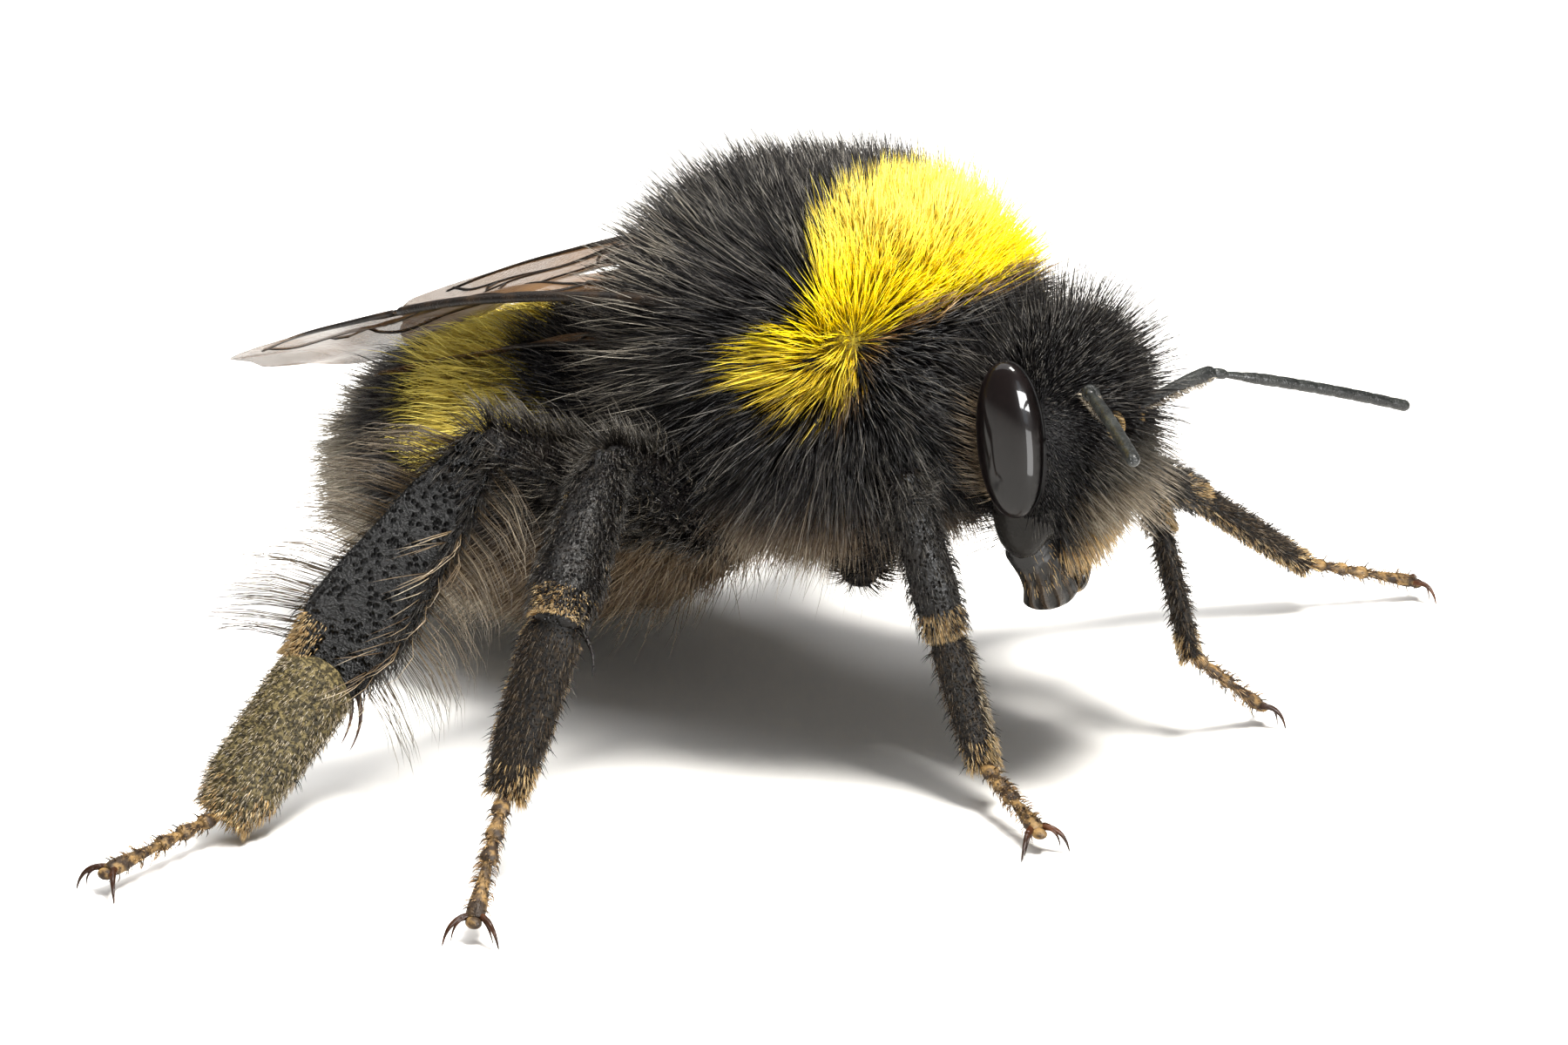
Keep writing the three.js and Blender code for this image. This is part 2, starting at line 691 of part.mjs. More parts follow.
// The rooms are the neighbours grown by the gap: what is cut by a room keeps clear of it.
const limbRooms = joined(legs.flatMap((leg) => leg.rooms.slice(0, 2)));
const coxaRooms = joined(legs.map((leg) => coxa(leg, GAP)));
const wingRooms = joined(
  sides.flatMap(([, side]) => [wing(FOREWING, side, GAP), wing(HINDWING, side, GAP)]),
);
const eyeRooms = joined(sides.map(([, side]) => eye(side, GAP)));
const thoraxRoom = thoraxForm.solid(THORAX.core + GAP, BODY_DETAIL);
const abdomenRoom = abdomenForm.solid(ABDOMEN.core + GAP, BODY_DETAIL);
const tailRoom = abdomenForm.solid(ABDOMEN.coat + GAP, BODY_DETAIL);
const skullAt = (grow) =>
  skullForm.solid(HEAD.core + grow, HEAD_DETAIL).add(muzzleForm.solid(grow, HEAD_DETAIL));
const skullRoom = skullAt(GAP);
const jawRooms = joined(sides.map(([, side]) => mandible(side, GAP).subtract(skullRoom)));

const feelers = sides.map(([name, side]) => {
  const socket = onHead(mirrored(SOCKET, side));
  const elbow = vec(SCAPE.tips[name]);
  const elbowRadius = SCAPE.radius + GAP;
  const elbowForm = new Form({ middle: SCAPE.tips[name], skin: [elbowRadius, elbowRadius, elbowRadius] });
  const scapeRoom = feeler(socket, elbow, SCAPE, GAP).add(elbowForm.solid(0, 2));
  return {
    name,
    scapeRoom,
    scape: feeler(socket, elbow, SCAPE),
    flagellum: feeler(elbow, vec(FLAGELLUM.tips[name]), FLAGELLUM).subtract(scapeRoom),
  };
});
const scapeRooms = joined(feelers.map(({ scapeRoom }) => scapeRoom));

// On the thorax the hair sweeps back, and down on the sides. In front it fans out like a ruff.
const thoraxLie = (normal) => {
  const side = Math.abs(normal.y);
  const back = vec([-0.85, 0, -0.55 * side]).multiplyScalar(mix(0.9, 1.9, side));
  const fan = vec([-0.2, normal.y, normal.z]);
  return back.lerp(fan, THREE.MathUtils.smoothstep(normal.x, 0, 0.5));
};
const thoraxCoat = coatOf({
  form: thoraxForm,
  core: THORAX.core,
  locks: THORAX_LOCKS,
  seed: SEED,
  coat: (unit) => THORAX.coat + (unit.x < -0.3 && unit.z > 0.1 ? THORAX.longer : 0),
  lie: thoraxLie,
  grows: (unit) => unit.x < 0.86 && unit.x > -0.9,
  clear: [[skullForm, HEAD.core + GAP], [abdomenForm, ABDOMEN.core + GAP]],
});
const thorax = thoraxForm
  .solid(THORAX.core, BODY_DETAIL)
  .add(thoraxCoat.subtract(skullRoom).subtract(abdomenRoom).subtract(coxaRooms))
  .subtract(limbRooms)
  .subtract(wingRooms);

// On the abdomen it lies flat and points to the tail.
const abdomenCoat = coatOf({
  form: abdomenForm,
  core: ABDOMEN.core,
  locks: ABDOMEN_LOCKS,
  seed: SEED + 1,
  coat: (unit) => ABDOMEN.coat + (unit.x < -0.6 ? ABDOMEN.longer : 0),
  lie: () => vec([-3.2, 0, -0.6]),
  grows: (unit) => unit.x < 0.75,
  clear: [[thoraxForm, THORAX.coat + GAP]],
});
const abdomen = abdomenForm
  .solid(ABDOMEN.core, BODY_DETAIL)
  .add(abdomenCoat)
  .subtract(thoraxRoom)
  .subtract(wingRooms)
  .subtract(limbRooms)
  .subtract(coxaRooms);

// On the crown it points forwards, on the face down. Cheeks and eyes are bare.
const crown = 0.35;
const faceCoat = coatOf({
  form: skullForm,
  core: HEAD.core,
  locks: HEAD_LOCKS,
  seed: SEED + 2,
  coat: (unit) => (unit.z > crown ? HEAD.coat : HEAD.face),
  lie: (normal) => (normal.z > crown ? vec([0.9, 0, 0.1]) : vec([0.2, 0, -1.6])),
  grows: (unit) => unit.x > -0.35 || unit.z > 0.2,
  clear: [[thoraxForm, THORAX.core + GAP]],
});
const muzzleCoat = coatOf({
  form: muzzleForm,
  core: 0,
  locks: MUZZLE_LOCKS,
  seed: SEED + 3,
  coat: () => MUZZLE.coat,
  lie: () => vec([0.15, 0, -1.8]),
  grows: (unit) => unit.x > 0.15 && unit.z < 0.5,
  clear: [],
});
const head = skullAt(0)
  .add(faceCoat.add(muzzleCoat).subtract(jawRooms))
  .subtract(eyeRooms)
  .subtract(scapeRooms)
  .subtract(thoraxRoom)
  .subtract(limbRooms);

addNode("thorax", thorax, "coat", COARSE_EDGE);
addNode("abdomen", abdomen, "tail", COARSE_EDGE);
addNode("head", head, "coat", COARSE_EDGE);

for (const [name, side] of sides) {
  addNode(`eye_${name}`, eye(side), "eye");
  addNode(`mandible_${name}`, mandible(side).subtract(skullRoom), "jaw");
  addNode(`forewing_${name}`, wing(FOREWING, side), "wing", COARSE_EDGE);
  addNode(`hindwing_${name}`, wing(HINDWING, side), "wing", COARSE_EDGE);
}
for (const { name, scape, flagellum } of feelers) {
  addNode(`scape_${name}`, scape, "feeler");
  addNode(`flagellum_${name}`, flagellum, "feeler");
}
for (const leg of legs) {
  const hairy = leg.kind === "hind";
  const shin = hairy ? legRod(leg, 1).add(fringe(leg, 1).subtract(tailRoom)) : legRod(leg, 1);
  addNode(`${leg.name}_femur`, coxa(leg).subtract(thoraxRoom).add(legRod(leg, 0)), "leg");
  addNode(`${leg.name}_tibia`, shin.subtract(leg.rooms[0]), "leg", hairy ? COARSE_EDGE : FINEST_EDGE);
  addNode(`${leg.name}_basitarsus`, legRod(leg, 2).subtract(leg.rooms[1]), "leg");
  addNode(`${leg.name}_tarsus`, foot(leg).subtract(leg.rooms[2]), "toes", COARSE_EDGE);
}

const box = new THREE.Box3().setFromObject(bee);
bee.position.set(-(box.min.x + box.max.x) / 2, -(box.min.y + box.max.y) / 2, -box.min.z);

export default bee;
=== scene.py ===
# %% [markdown]
# # Dressing a bumblebee
#
# This is a lesson in building the looks of an animal with numpy and Blender. The animal is a
# bumblebee queen, life size: a ball of long hair with two glossy eyes, six legs and four
# smoky wings. Her solid model is packed already and is loaded as a fixed frame. Here she gets
# her skin, her coat, her wings' veins and the finish of every surface.
#
# Shapes are worked out in millimetres, in the bee's own frame: the middle of the thorax is
# above x = 0, y = 0, she looks along +X, her left is +Y and the ground is z = 0.

# %% Load the frame
import json

import bpy
import numpy as np
from mathutils import Matrix, Vector

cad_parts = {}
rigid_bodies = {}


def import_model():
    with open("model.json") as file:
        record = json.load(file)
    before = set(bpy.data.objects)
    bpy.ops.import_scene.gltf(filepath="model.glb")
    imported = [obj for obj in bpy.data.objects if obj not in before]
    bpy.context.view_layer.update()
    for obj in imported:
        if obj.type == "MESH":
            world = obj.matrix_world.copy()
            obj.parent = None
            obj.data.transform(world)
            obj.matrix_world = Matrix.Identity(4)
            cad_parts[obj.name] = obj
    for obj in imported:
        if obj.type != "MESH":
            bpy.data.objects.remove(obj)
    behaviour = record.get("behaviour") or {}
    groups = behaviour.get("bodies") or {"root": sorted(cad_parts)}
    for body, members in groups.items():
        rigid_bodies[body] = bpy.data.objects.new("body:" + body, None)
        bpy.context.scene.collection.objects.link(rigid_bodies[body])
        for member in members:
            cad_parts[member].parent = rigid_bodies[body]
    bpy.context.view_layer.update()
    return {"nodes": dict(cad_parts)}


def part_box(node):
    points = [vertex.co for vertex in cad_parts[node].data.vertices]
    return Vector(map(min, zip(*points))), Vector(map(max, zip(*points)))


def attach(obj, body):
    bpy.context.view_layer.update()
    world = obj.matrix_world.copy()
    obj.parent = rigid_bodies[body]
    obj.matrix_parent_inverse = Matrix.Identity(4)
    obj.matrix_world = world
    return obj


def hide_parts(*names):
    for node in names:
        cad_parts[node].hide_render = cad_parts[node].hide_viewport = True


for leftover in list(bpy.data.objects):
    bpy.data.objects.remove(leftover)
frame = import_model()
MM = 0.001
print(len(frame["nodes"]), "solids in the frame")

# %% [markdown]
# The frame has its origin under the middle of the bee's box, and the bee's own frame doesn't.
# The two eyes are plain ellipsoids that nothing cuts, so the middle between their boxes is a
# place that both frames know. It gives the shift from one to the other.

# %% Find the shift between the two frames
def unit(vectors):
    """Vectors scaled to length 1, along the last axis."""
    return vectors / np.maximum(np.linalg.norm(vectors, axis=-1, keepdims=True), 1e-12)


def about_z(degrees):
    """The matrix that turns by an angle about z, from x towards y."""
    a = np.radians(degrees)
    return np.array([[np.cos(a), -np.sin(a), 0], [np.sin(a), np.cos(a), 0], [0, 0, 1]])


def about_y(degrees):
    """The matrix that turns by an angle about y, from z towards x."""
    a = np.radians(degrees)
    return np.array([[np.cos(a), 0, np.sin(a)], [0, 1, 0], [-np.sin(a), 0, np.cos(a)]])


HEAD_MIDDLE = np.array([4.69, 0.21, 6.4])
HEAD_TURN = 7
EYE_PLACE = np.array([-0.1, 1.95, 0.35])
EYE_SKIN = np.array([0.6, 0.38, 1.38])
SIDES = {"left": 1, "right": -1}


def on_head(place, side=1):
    """A place given along the head's own front, left and up, in the bee's frame."""
    return HEAD_MIDDLE + about_z(HEAD_TURN) @ (np.array(place, float) * [1, side, 1])


eye_boxes = [np.array(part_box(f"eye_{side}")) for side in SIDES]
between_eyes = (on_head(EYE_PLACE, 1) + on_head(EYE_PLACE, -1)) / 2
SHIFT = np.mean(eye_boxes, axis=(0, 1)) / MM - between_eyes
print("shift from the bee's frame to the row frame, mm:", SHIFT.round(3))

# %% [markdown]
# ## The camera
#
# The camera comes first, so that every later step can be looked at. It stands in front of the
# bee and to her right, a little above her, with a long lens that flattens the view.

# %% Camera
CAMERA_PLACE = np.array([32.6648, -46.6923, 24.0425])
CAMERA_RIGHT = np.array([0.80957, 0.58702, 0.0])
CAMERA_UP = np.array([-0.19688, 0.27152, 0.94208])
SENSOR_WIDTH = 36.0
FOCAL_PIXELS = 3735.25
IMAGE_WIDTH = 1800
CLIP = (0.001, 10.0)  # metres


def new_object(name, data):
    """An object for this data, placed in the scene."""
    thing = bpy.data.objects.new(name, data)
    bpy.context.scene.collection.objects.link(thing)
    return thing


lens = bpy.data.cameras.new("camera")
lens.sensor_width = SENSOR_WIDTH
lens.lens = SENSOR_WIDTH * FOCAL_PIXELS / IMAGE_WIDTH
lens.clip_start, lens.clip_end = CLIP
camera = new_object("camera", lens)
turn = np.column_stack([CAMERA_RIGHT, CAMERA_UP, np.cross(CAMERA_RIGHT, CAMERA_UP)])
camera.matrix_world = Matrix.LocRotScale(
    Vector((CAMERA_PLACE + SHIFT) * MM), Matrix(turn.tolist()).to_quaternion(), None
)
bpy.context.scene.camera = camera
print("lens", round(lens.lens, 1), "mm")

# %% [markdown]
# ## Shader maths in Python
#
# A material is a graph of nodes. Written node by node it is long and hard to read, so two small
# classes help: `Wire` is a socket that takes part in sums and products, and `Paint` is a
# material that adds nodes to itself. A sum of two wires adds the Math node that does the sum.

# %% Wire and Paint
class Wire:
    """An output socket. Maths on it adds Math nodes to its paint."""

    def __init__(self, paint, socket):
        self.paint, self.socket = paint, socket

    def math(self, operation, first, second):
        return self.paint.node("ShaderNodeMath", {"operation": operation}, {0: first, 1: second})

    def __add__(self, other):
        return self.math("ADD", self, other)

    def __mul__(self, other):
        return self.math("MULTIPLY", self, other)

    def __rsub__(self, other):
        return self.math("SUBTRACT", other, self)

    __radd__ = __add__
    __rmul__ = __mul__

    def between(self, low, high):
        """0 below low, 1 above high, smooth in between."""
        inputs = {"Value": self, "From Min": low, "From Max": high}
        return self.paint.node("ShaderNodeMapRange", {"interpolation_type": "SMOOTHSTEP"}, inputs)


class Paint:
    """A material made node by node around one Principled shader."""

    def __init__(self, name, **fixed):
        self.material = bpy.data.materials.new(name)
        self.material.use_nodes = True
        self.tree = self.material.node_tree
        self.shader = self.tree.nodes["Principled BSDF"]
        self.finish(**fixed)

    def feed(self, socket, value):
        if isinstance(value, Wire):
            self.tree.links.new(value.socket, socket)
        elif socket.type == "RGBA" and len(value) == 3:
            socket.default_value = (*value, 1.0)
        else:
            socket.default_value = value

    def node(self, kind, settings, inputs, output=0):
        """Adds a node: its settings first, then its sockets, which are values or wires."""
        node = self.tree.nodes.new(kind)
        for setting, value in settings.items():
            setattr(node, setting, value)
        for socket, value in inputs.items():
            self.feed(node.inputs[socket], value)
        return Wire(self, node.outputs[output])

    def place(self):
        return self.node("ShaderNodeTexCoord", {}, {}, "Object")

    def attribute(self, name):
        return self.node("ShaderNodeAttribute", {"attribute_name": name}, {}, "Fac")

    def mix(self, share, a, b, blend="MIX"):
        """A colour between a, where share is 0, and b, where it is 1."""
        settings = {"data_type": "RGBA", "blend_type": blend}
        return self.node("ShaderNodeMix", settings, {0: share, 6: a, 7: b}, 2)

    def noise(self, per_mm, detail=3.0):
        """Cloudy noise from 0 to 1, with so many clouds in a millimetre."""
        inputs = {"Vector": self.place(), "Scale": per_mm / MM, "Detail": detail}
        return self.node("ShaderNodeTexNoise", {}, inputs)

    def cells(self, per_mm, feature="F1"):
        inputs = {"Vector": self.place(), "Scale": per_mm / MM}
        return self.node("ShaderNodeTexVoronoi", {"feature": feature}, inputs, "Distance")

    def bump(self, height, depth_mm, strength=1.0):
        inputs = {"Height": height, "Distance": depth_mm * MM, "Strength": strength}
        return self.node("ShaderNodeBump", {}, inputs)

    def finish(self, **linked):
        for socket, value in linked.items():
            self.feed(self.shader.inputs[socket.replace("_", " ")], value)
        return self.material


print("shader helpers ready")

# %% [markdown]
# ## Meshes from arrays
#
# Everything on a bee is round: balls, tubes and tapering hairs. All of them are rows of rings,
# closed with a pole at each end. One function joins such rows for a single tube, and it does
# the same for thousands of hairs at once, as long as they all have the same number of rings.

# %% Rows of rings
def walls_and_tip(rows, columns, base=0):
    """Triangles between rings whose points are counted from base, ring after ring, and the fan
    from the last ring to the point after it. The quad between two rings is two triangles."""
    ring = np.arange(columns)
    after = (ring + 1) % columns
    start = base + columns * np.arange(rows - 1)[:, None]
    a, b, c, d = start + ring, start + after, start + columns + after, start + columns + ring
    walls = np.concatenate([np.stack([a, b, c], -1), np.stack([a, c, d], -1)]).reshape(-1, 3)
    last = base + columns * (rows - 1)
    tip = np.stack([last + ring, last + after, np.full(columns, last + columns)], 1)
    return np.concatenate([walls, tip])


def ring_faces(rows, columns):
    """Triangles of one closed tube. Point 0 is the first pole, with a fan of its own, then come
    the rings one after another, and the last point is the other pole."""
    ring = np.arange(columns)
    first = np.stack([0 * ring, 1 + (ring + 1) % columns, 1 + ring], 1)
    return np.concatenate([first, walls_and_tip(rows, columns, base=1)])


def tubes(rings, start, end):
    """Points and triangles of many tubes. rings is (tubes, rows, columns, 3), and start and
    end, the poles, are (tubes, 3)."""
    count, rows, columns, _ = rings.shape
    points = np.concatenate([start[:, None], rings.reshape(count, -1, 3), end[:, None]], 1)
    faces = ring_faces(rows, columns)
    offsets = np.arange(count)[:, None, None] * points.shape[1]
    return points.reshape(-1, 3), (faces + offsets).reshape(-1, 3)


def pulled(start, bend, end, t):
    """A curve from start to end, pulled towards the bend: (1-t)^2 s + 2t(1-t) b + t^2 e."""
    return (1 - t) ** 2 * start + 2 * t * (1 - t) * bend + t**2 * end


def outward(points, faces):
    """The faces turned, if need be, so that they enclose a positive volume."""
    a, b, c = (points[faces[:, k]] for k in range(3))
    volume = np.einsum("ij,ij->", a, np.cross(b, c))
    return faces if volume > 0 else faces[:, ::-1]


def together(parts):
    """Several (points, faces) pairs as one."""
    offsets = np.cumsum([0] + [len(points) for points, _ in parts])
    faces = [part[1] + offset for part, offset in zip(parts, offsets)]
    return np.concatenate([points for points, _ in parts]), np.concatenate(faces)


print("a tube of 3 rings of 5 points has", len(ring_faces(3, 5)), "triangles")

# %% [markdown]
# `add_piece` is the one door through which arrays become Blender objects. It moves the points
# to the row frame, in metres, makes the mesh, shades it smooth, stores values per point for
# the materials, and lets the piece ride on the bee's only body.

# %% From arrays to an object
MATERIALS = {}
made = {}


def add_piece(name, points, faces, finish, slot, replaces=(), values=None, uv=None):
    """A mesh object from points in the bee's frame, in millimetres. values are per point."""
    mesh = bpy.data.meshes.new(name)
    points = (points + SHIFT) * MM
    starts = np.arange(0, faces.size, faces.shape[1], dtype=np.int32)
    mesh.vertices.add(len(points))
    mesh.vertices.foreach_set("co", points.astype(np.float32).ravel())
    mesh.loops.add(faces.size)
    mesh.loops.foreach_set("vertex_index", faces.astype(np.int32).ravel())
    mesh.polygons.add(len(faces))
    mesh.polygons.foreach_set("loop_start", starts)
    mesh.polygons.foreach_set("use_smooth", np.ones(len(faces), bool))
    mesh.update(calc_edges=True)
    for key, per_point in (values or {}).items():
        layer = mesh.attributes.new(key, "FLOAT", "POINT")
        layer.data.foreach_set("value", per_point.astype(np.float32))
    if uv is not None:
        layer = mesh.uv_layers.new(name="OFBake")
        layer.uv.foreach_set("vector", uv.astype(np.float32).ravel())
    mesh.materials.append(MATERIALS[finish])
    piece = new_object(name, mesh)
    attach(piece, "root")
    if replaces:
        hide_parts(*replaces)
    made[name] = len(faces)
    print(f"{name}: {len(faces)} faces")


# %% [markdown]
# ## The body's forms
#
# Thorax, abdomen and head are egg-shaped. A form is a formula: it takes a direction of a ball
# to a point on the egg, so that hairs can be rooted on it and pushed clear of it.

# %% Egg-shaped forms
class Form:
    """A ball stretched to three half-axes, narrower towards the rear, then tilted and turned.
    A boxiness of 2 is round, and more fills out the corners."""

    def __init__(self, middle, skin, boxiness=2.0, narrowing=0.0, tilt=0.0, turn=0.0):
        self.middle, self.skin = np.array(middle, float), np.array(skin, float)
        self.boxiness, self.narrowing = boxiness, narrowing
        self.matrix = about_z(turn) @ about_y(-tilt)

    def reach(self, ball):
        return (np.abs(ball) ** self.boxiness).sum(-1, keepdims=True) ** (1 / self.boxiness)

    def widths(self, ball, grow):
        narrow = 1 + self.narrowing * ball[..., :1]
        return (self.skin + grow) * np.concatenate([np.ones_like(narrow), narrow, narrow], -1)

    def at(self, direction, grow=0.0):
        ball = direction / self.reach(direction)
        return (ball * self.widths(ball, grow)) @ self.matrix.T + self.middle

    def normal(self, direction):
        ball = direction / self.reach(direction)
        slope = np.sign(ball) * np.abs(ball) ** (self.boxiness - 1)
        return unit((slope / self.widths(ball, 0)) @ self.matrix.T)

    def ball(self, points, grow=0.0):
        """Where points lie in the form's own ball."""
        local = (points - self.middle) @ self.matrix
        ball = local / (self.skin + grow)
        ball[..., 1:] /= 1 + self.narrowing * ball[..., :1]
        return ball

    def holds(self, points, grow=0.0):
        return self.reach(self.ball(points, grow))[..., 0] < 1

    def pushed_out(self, points, grow=0.0):
        """Points inside the grown form are moved out to its surface."""
        inside = self.holds(points, grow)[..., None]
        return np.where(inside, self.at(self.ball(points, grow), grow), points)

    def shell(self, rows=48, columns=64, grow=0.0):
        """The whole form as a closed grid: rings around its length from tail to front."""
        along = np.pi * (np.arange(rows) + 0.5) / rows
        around = 2 * np.pi * np.arange(columns) / columns
        a, b = np.meshgrid(along, around, indexing="ij")
        ball = np.stack([-np.cos(a), np.sin(a) * np.cos(b), np.sin(a) * np.sin(b)], -1)
        poles = self.at(np.array([[-1.0, 0, 0], [1.0, 0, 0]]), grow)
        points, faces = tubes(self.at(ball, grow)[None], poles[:1], poles[1:])
        return points, outward(points - self.middle, faces)


THORAX = Form([0, 0, 6.95], [3.1, 3.2, 2.95], boxiness=2.5)
ABDOMEN = Form([-6.35, 0, 3.88], [4.6, 3.75, 2.75], narrowing=0.06, tilt=12.5)
SKULL = Form(HEAD_MIDDLE, [1.3, 2.1, 1.95], turn=HEAD_TURN)
MUZZLE = Form(on_head([0.05, 0, -1.0]), [1.0, 1.1, 1.0], turn=HEAD_TURN)
EYE_LEAN = 6  # the top of an eye leans back by this
EYES = {
    name: Form(on_head(EYE_PLACE, side), EYE_SKIN, 2.15, tilt=EYE_LEAN, turn=HEAD_TURN)
    for name, side in SIDES.items()
}
ends = THORAX.at(np.array([[-1.0, 0, 0], [1.0, 0, 0]]))
print("thorax from", ends[0].round(2), "to", ends[1].round(2))

# %% [markdown]
# ## Colours of the coat
#
# The pattern is what tells a bumblebee's kind: a lemon collar that runs down into a tuft on
# each side, black behind it, one gold band over the abdomen, black again, and a pale tail. The
# same few formulas give the colour of the skin and of each hair that is rooted in it.

# %% Markings
def smooth(value, low, high):
    """0 below low, 1 above high, with an S-shaped step in between."""
    t = np.clip((value - low) / (high - low), 0, 1)
    return t * t * (3 - 2 * t)


def waves(points, size, seed, count=7):
    """A soft, seeded random value from about -1 to 1: the mean of a few sine waves that run
    through space in random directions, with that size in millimetres. The mean of so many
    waves is small, so it is scaled up."""
    random = np.random.default_rng(seed)
    ways = unit(random.normal(size=(count, 3))) * 2 * np.pi / size
    return np.sin(points @ ways.T + random.uniform(0, 2 * np.pi, count)).mean(1) * 1.6


def drift(points, size, seed):
    """A soft random vector: three waves, one along each axis."""
    return np.stack([waves(points, size, seed + axis) for axis in range(3)], 1)


COAT_LEVEL = {"thorax": 0.95, "abdomen": 0.7}  # how far the hair tips stand over the skin
# the collar's front edge: heights, and how far forward it lies there
COLLAR_FRONT = [[7.3, 7.8, 8.44, 8.87, 9.2, 9.5], [2.55, 2.65, 2.8, 3.25, 3.4, 9.0]]
GOLD_BAND = (-0.5, -0.02)  # shares of the abdomen's half length, along its slanted rings
SLANT = 0.5  # how much the rings lean forward on the way down
TAIL_FROM = -0.93  # the ring where the pale tail starts


def thorax_marking(tips):
    """(gold, pale) for places where hair tips of the thorax end. The collar lies between a
    rear edge that bends back round the side tuft and a front edge that follows height, and
    ends in a ragged lower edge that rises both ways from x = 1.6."""
    x, y, z = tips.T
    rough = 0.1 * waves(tips, 0.8, 3) + 0.05 * waves(tips, 0.3, 4)
    rear = 0.85 + 0.45 * smooth(np.abs(y), 2.0, 3.4) - 1.3 * smooth(9.2 - z, 0.0, 1.3)
    below = 6.75 + np.maximum(0.45 * (1.6 - x), 0.62 * (x - 1.6))
    front = np.interp(z, *COLLAR_FRONT)
    gold = smooth(x - rear + rough, -0.12, 0.12) * smooth(front - x + rough, -0.1, 0.14)
    ragged = rough + 0.3 * waves(tips, 0.1, 27)
    gold = gold * smooth(z - below + ragged, -0.4, 0.2)
    # pale hair low down, and a painted highlight that lightens the top of the collar
    pale = 0.16 * smooth(4.6 - z, 0.0, 1.2) + 0.3 * gold * smooth(z, 9.6, 10.5)
    return gold, pale


def abdomen_marking(tips):
    """(gold, pale) for places where hair tips of the abdomen end. The rings that carry the
    bands lean forward on the way down: ring = x - slant * (0.95 - z) in the abdomen's ball."""
    ball = ABDOMEN.ball(tips, COAT_LEVEL["abdomen"])
    ring = ball[:, 0] - SLANT * (0.95 - ball[:, 2])
    ring = ring + 0.03 * waves(tips, 0.9, 5) + 0.015 * waves(tips, 0.3, 6)
    low, high = GOLD_BAND
    gold = smooth(ring, low - 0.05, low + 0.04) * smooth(-ring, -high - 0.05, -high + 0.05)
    gold = gold * smooth(ball[:, 2] + 0.03 * waves(tips, 0.7, 8), 0.12, 0.4)
    under = smooth(-ball[:, 2], 0.15, 0.6)
    tail = smooth(-ring, -TAIL_FROM - 0.08, -TAIL_FROM + 0.12)
    return gold, np.max([0.75 * tail, 0.12 * under, 0.38 * gold], 0)


probe = np.array([[2.0, 0, 10.5], [-1.5, 0, 10.6]])
print("gold on the collar and behind it:", thorax_marking(probe)[0].round(2))

# %% [markdown]
# ## Finishes
#
# The coat's material reads what each hair carries: how gold, pale and tan it is, a random shade,
# and a value that runs from root to tip. Hairs are glossy rods, so the roughness is low, and
# their colour deepens at the root, where light is lost between them.
# The lighter hairs also carry a painted glint towards their tips.

# %% Coat and skin materials
DARK_HAIR = (0.0045, 0.004, 0.004)
PAINTED_GLINT = (0.17, 0.157, 0.138)
# each of these colours is a darker and a lighter one, and a hair's shade lies between them
TAN = (0.24, 0.10, 0.022), (0.82, 0.52, 0.20)
LEMON = (0.66, 0.46, 0.0), (0.98, 0.82, 0.006)
WHITE = (0.20, 0.17, 0.12), (0.60, 0.54, 0.44)
ROOT_LIGHT, TIP_LIGHT = (0.5, 0.43, 0.33), (1, 1, 1)  # what light is left along a hair


def coat_colour(paint, glint=0.0):
    """The markings' colour: black with a painted glint, then tan, gold and pale mixed over it."""
    gold, pale, tan, shade = (paint.attribute(key) for key in ("gold", "pale", "tan", "shade"))
    black = paint.mix(shade, DARK_HAIR, [3 * c for c in DARK_HAIR])
    black = paint.mix(glint, black, PAINTED_GLINT)
    black = paint.mix(tan, black, paint.mix(shade, *TAN))
    lemon = paint.mix(shade, *LEMON)
    white = paint.mix(shade, *WHITE)
    return paint.mix(pale, paint.mix(gold, black, lemon), white)


def hair_finish(name):
    paint = Paint(name, Roughness=0.3, Specular_IOR_Level=0.14)
    along = paint.attribute("along")
    # a painted glint on hairs of a lighter shade, from a third of the way along to the tip
    glint = paint.attribute("shade").between(0.55, 1.0) * along.between(0.3, 0.95)
    light = paint.mix(along.between(0.0, 0.55), ROOT_LIGHT, TIP_LIGHT)
    return paint.finish(Base_Color=paint.mix(1.0, coat_colour(paint, glint), light, "MULTIPLY"))


def skin_finish(name):
    paint = Paint(name, Specular_IOR_Level=0.08)
    pits = paint.cells(14)
    bare = paint.attribute("bare")
    colour = paint.mix(0.35, coat_colour(paint), (0.010, 0.008, 0.007))
    colour = paint.mix(bare, colour, (0.013, 0.012, 0.011))
    height = pits * 0.6 + paint.noise(30) * 0.4
    rough = 0.55 - 0.34 * bare + 0.1 * paint.noise(6)
    return paint.finish(Base_Color=colour, Roughness=rough, Normal=paint.bump(height, 0.02, 0.5))


MATERIALS["hair"] = hair_finish("bee_hair")
MATERIALS["skin"] = skin_finish("bee_skin")
print("coat and skin finishes ready")

# %% [markdown]
# Horny parts are chitin: near black, glossy, and pitted where the hairs stand. One function
# makes them all, with a colour for the base, one that shows through in patches, and a gloss.

# %% Chitin, eye and jaw materials
def chitin_finish(name, base, patch, rough, pits_per_mm=12, depth=0.012, gloss=0.14, patches=2.2):
    paint = Paint(name, Specular_IOR_Level=gloss)
    cloud = paint.noise(patches).between(0.42, 0.68)
    pits = paint.cells(pits_per_mm)
    glint = paint.noise(9) * 0.2
    normal = paint.bump(pits.between(0.0, 0.45) + paint.noise(20) * 0.5, depth)
    colour = paint.mix(cloud, base, patch)
    return paint.finish(Base_Color=colour, Roughness=glint + rough, Normal=normal)


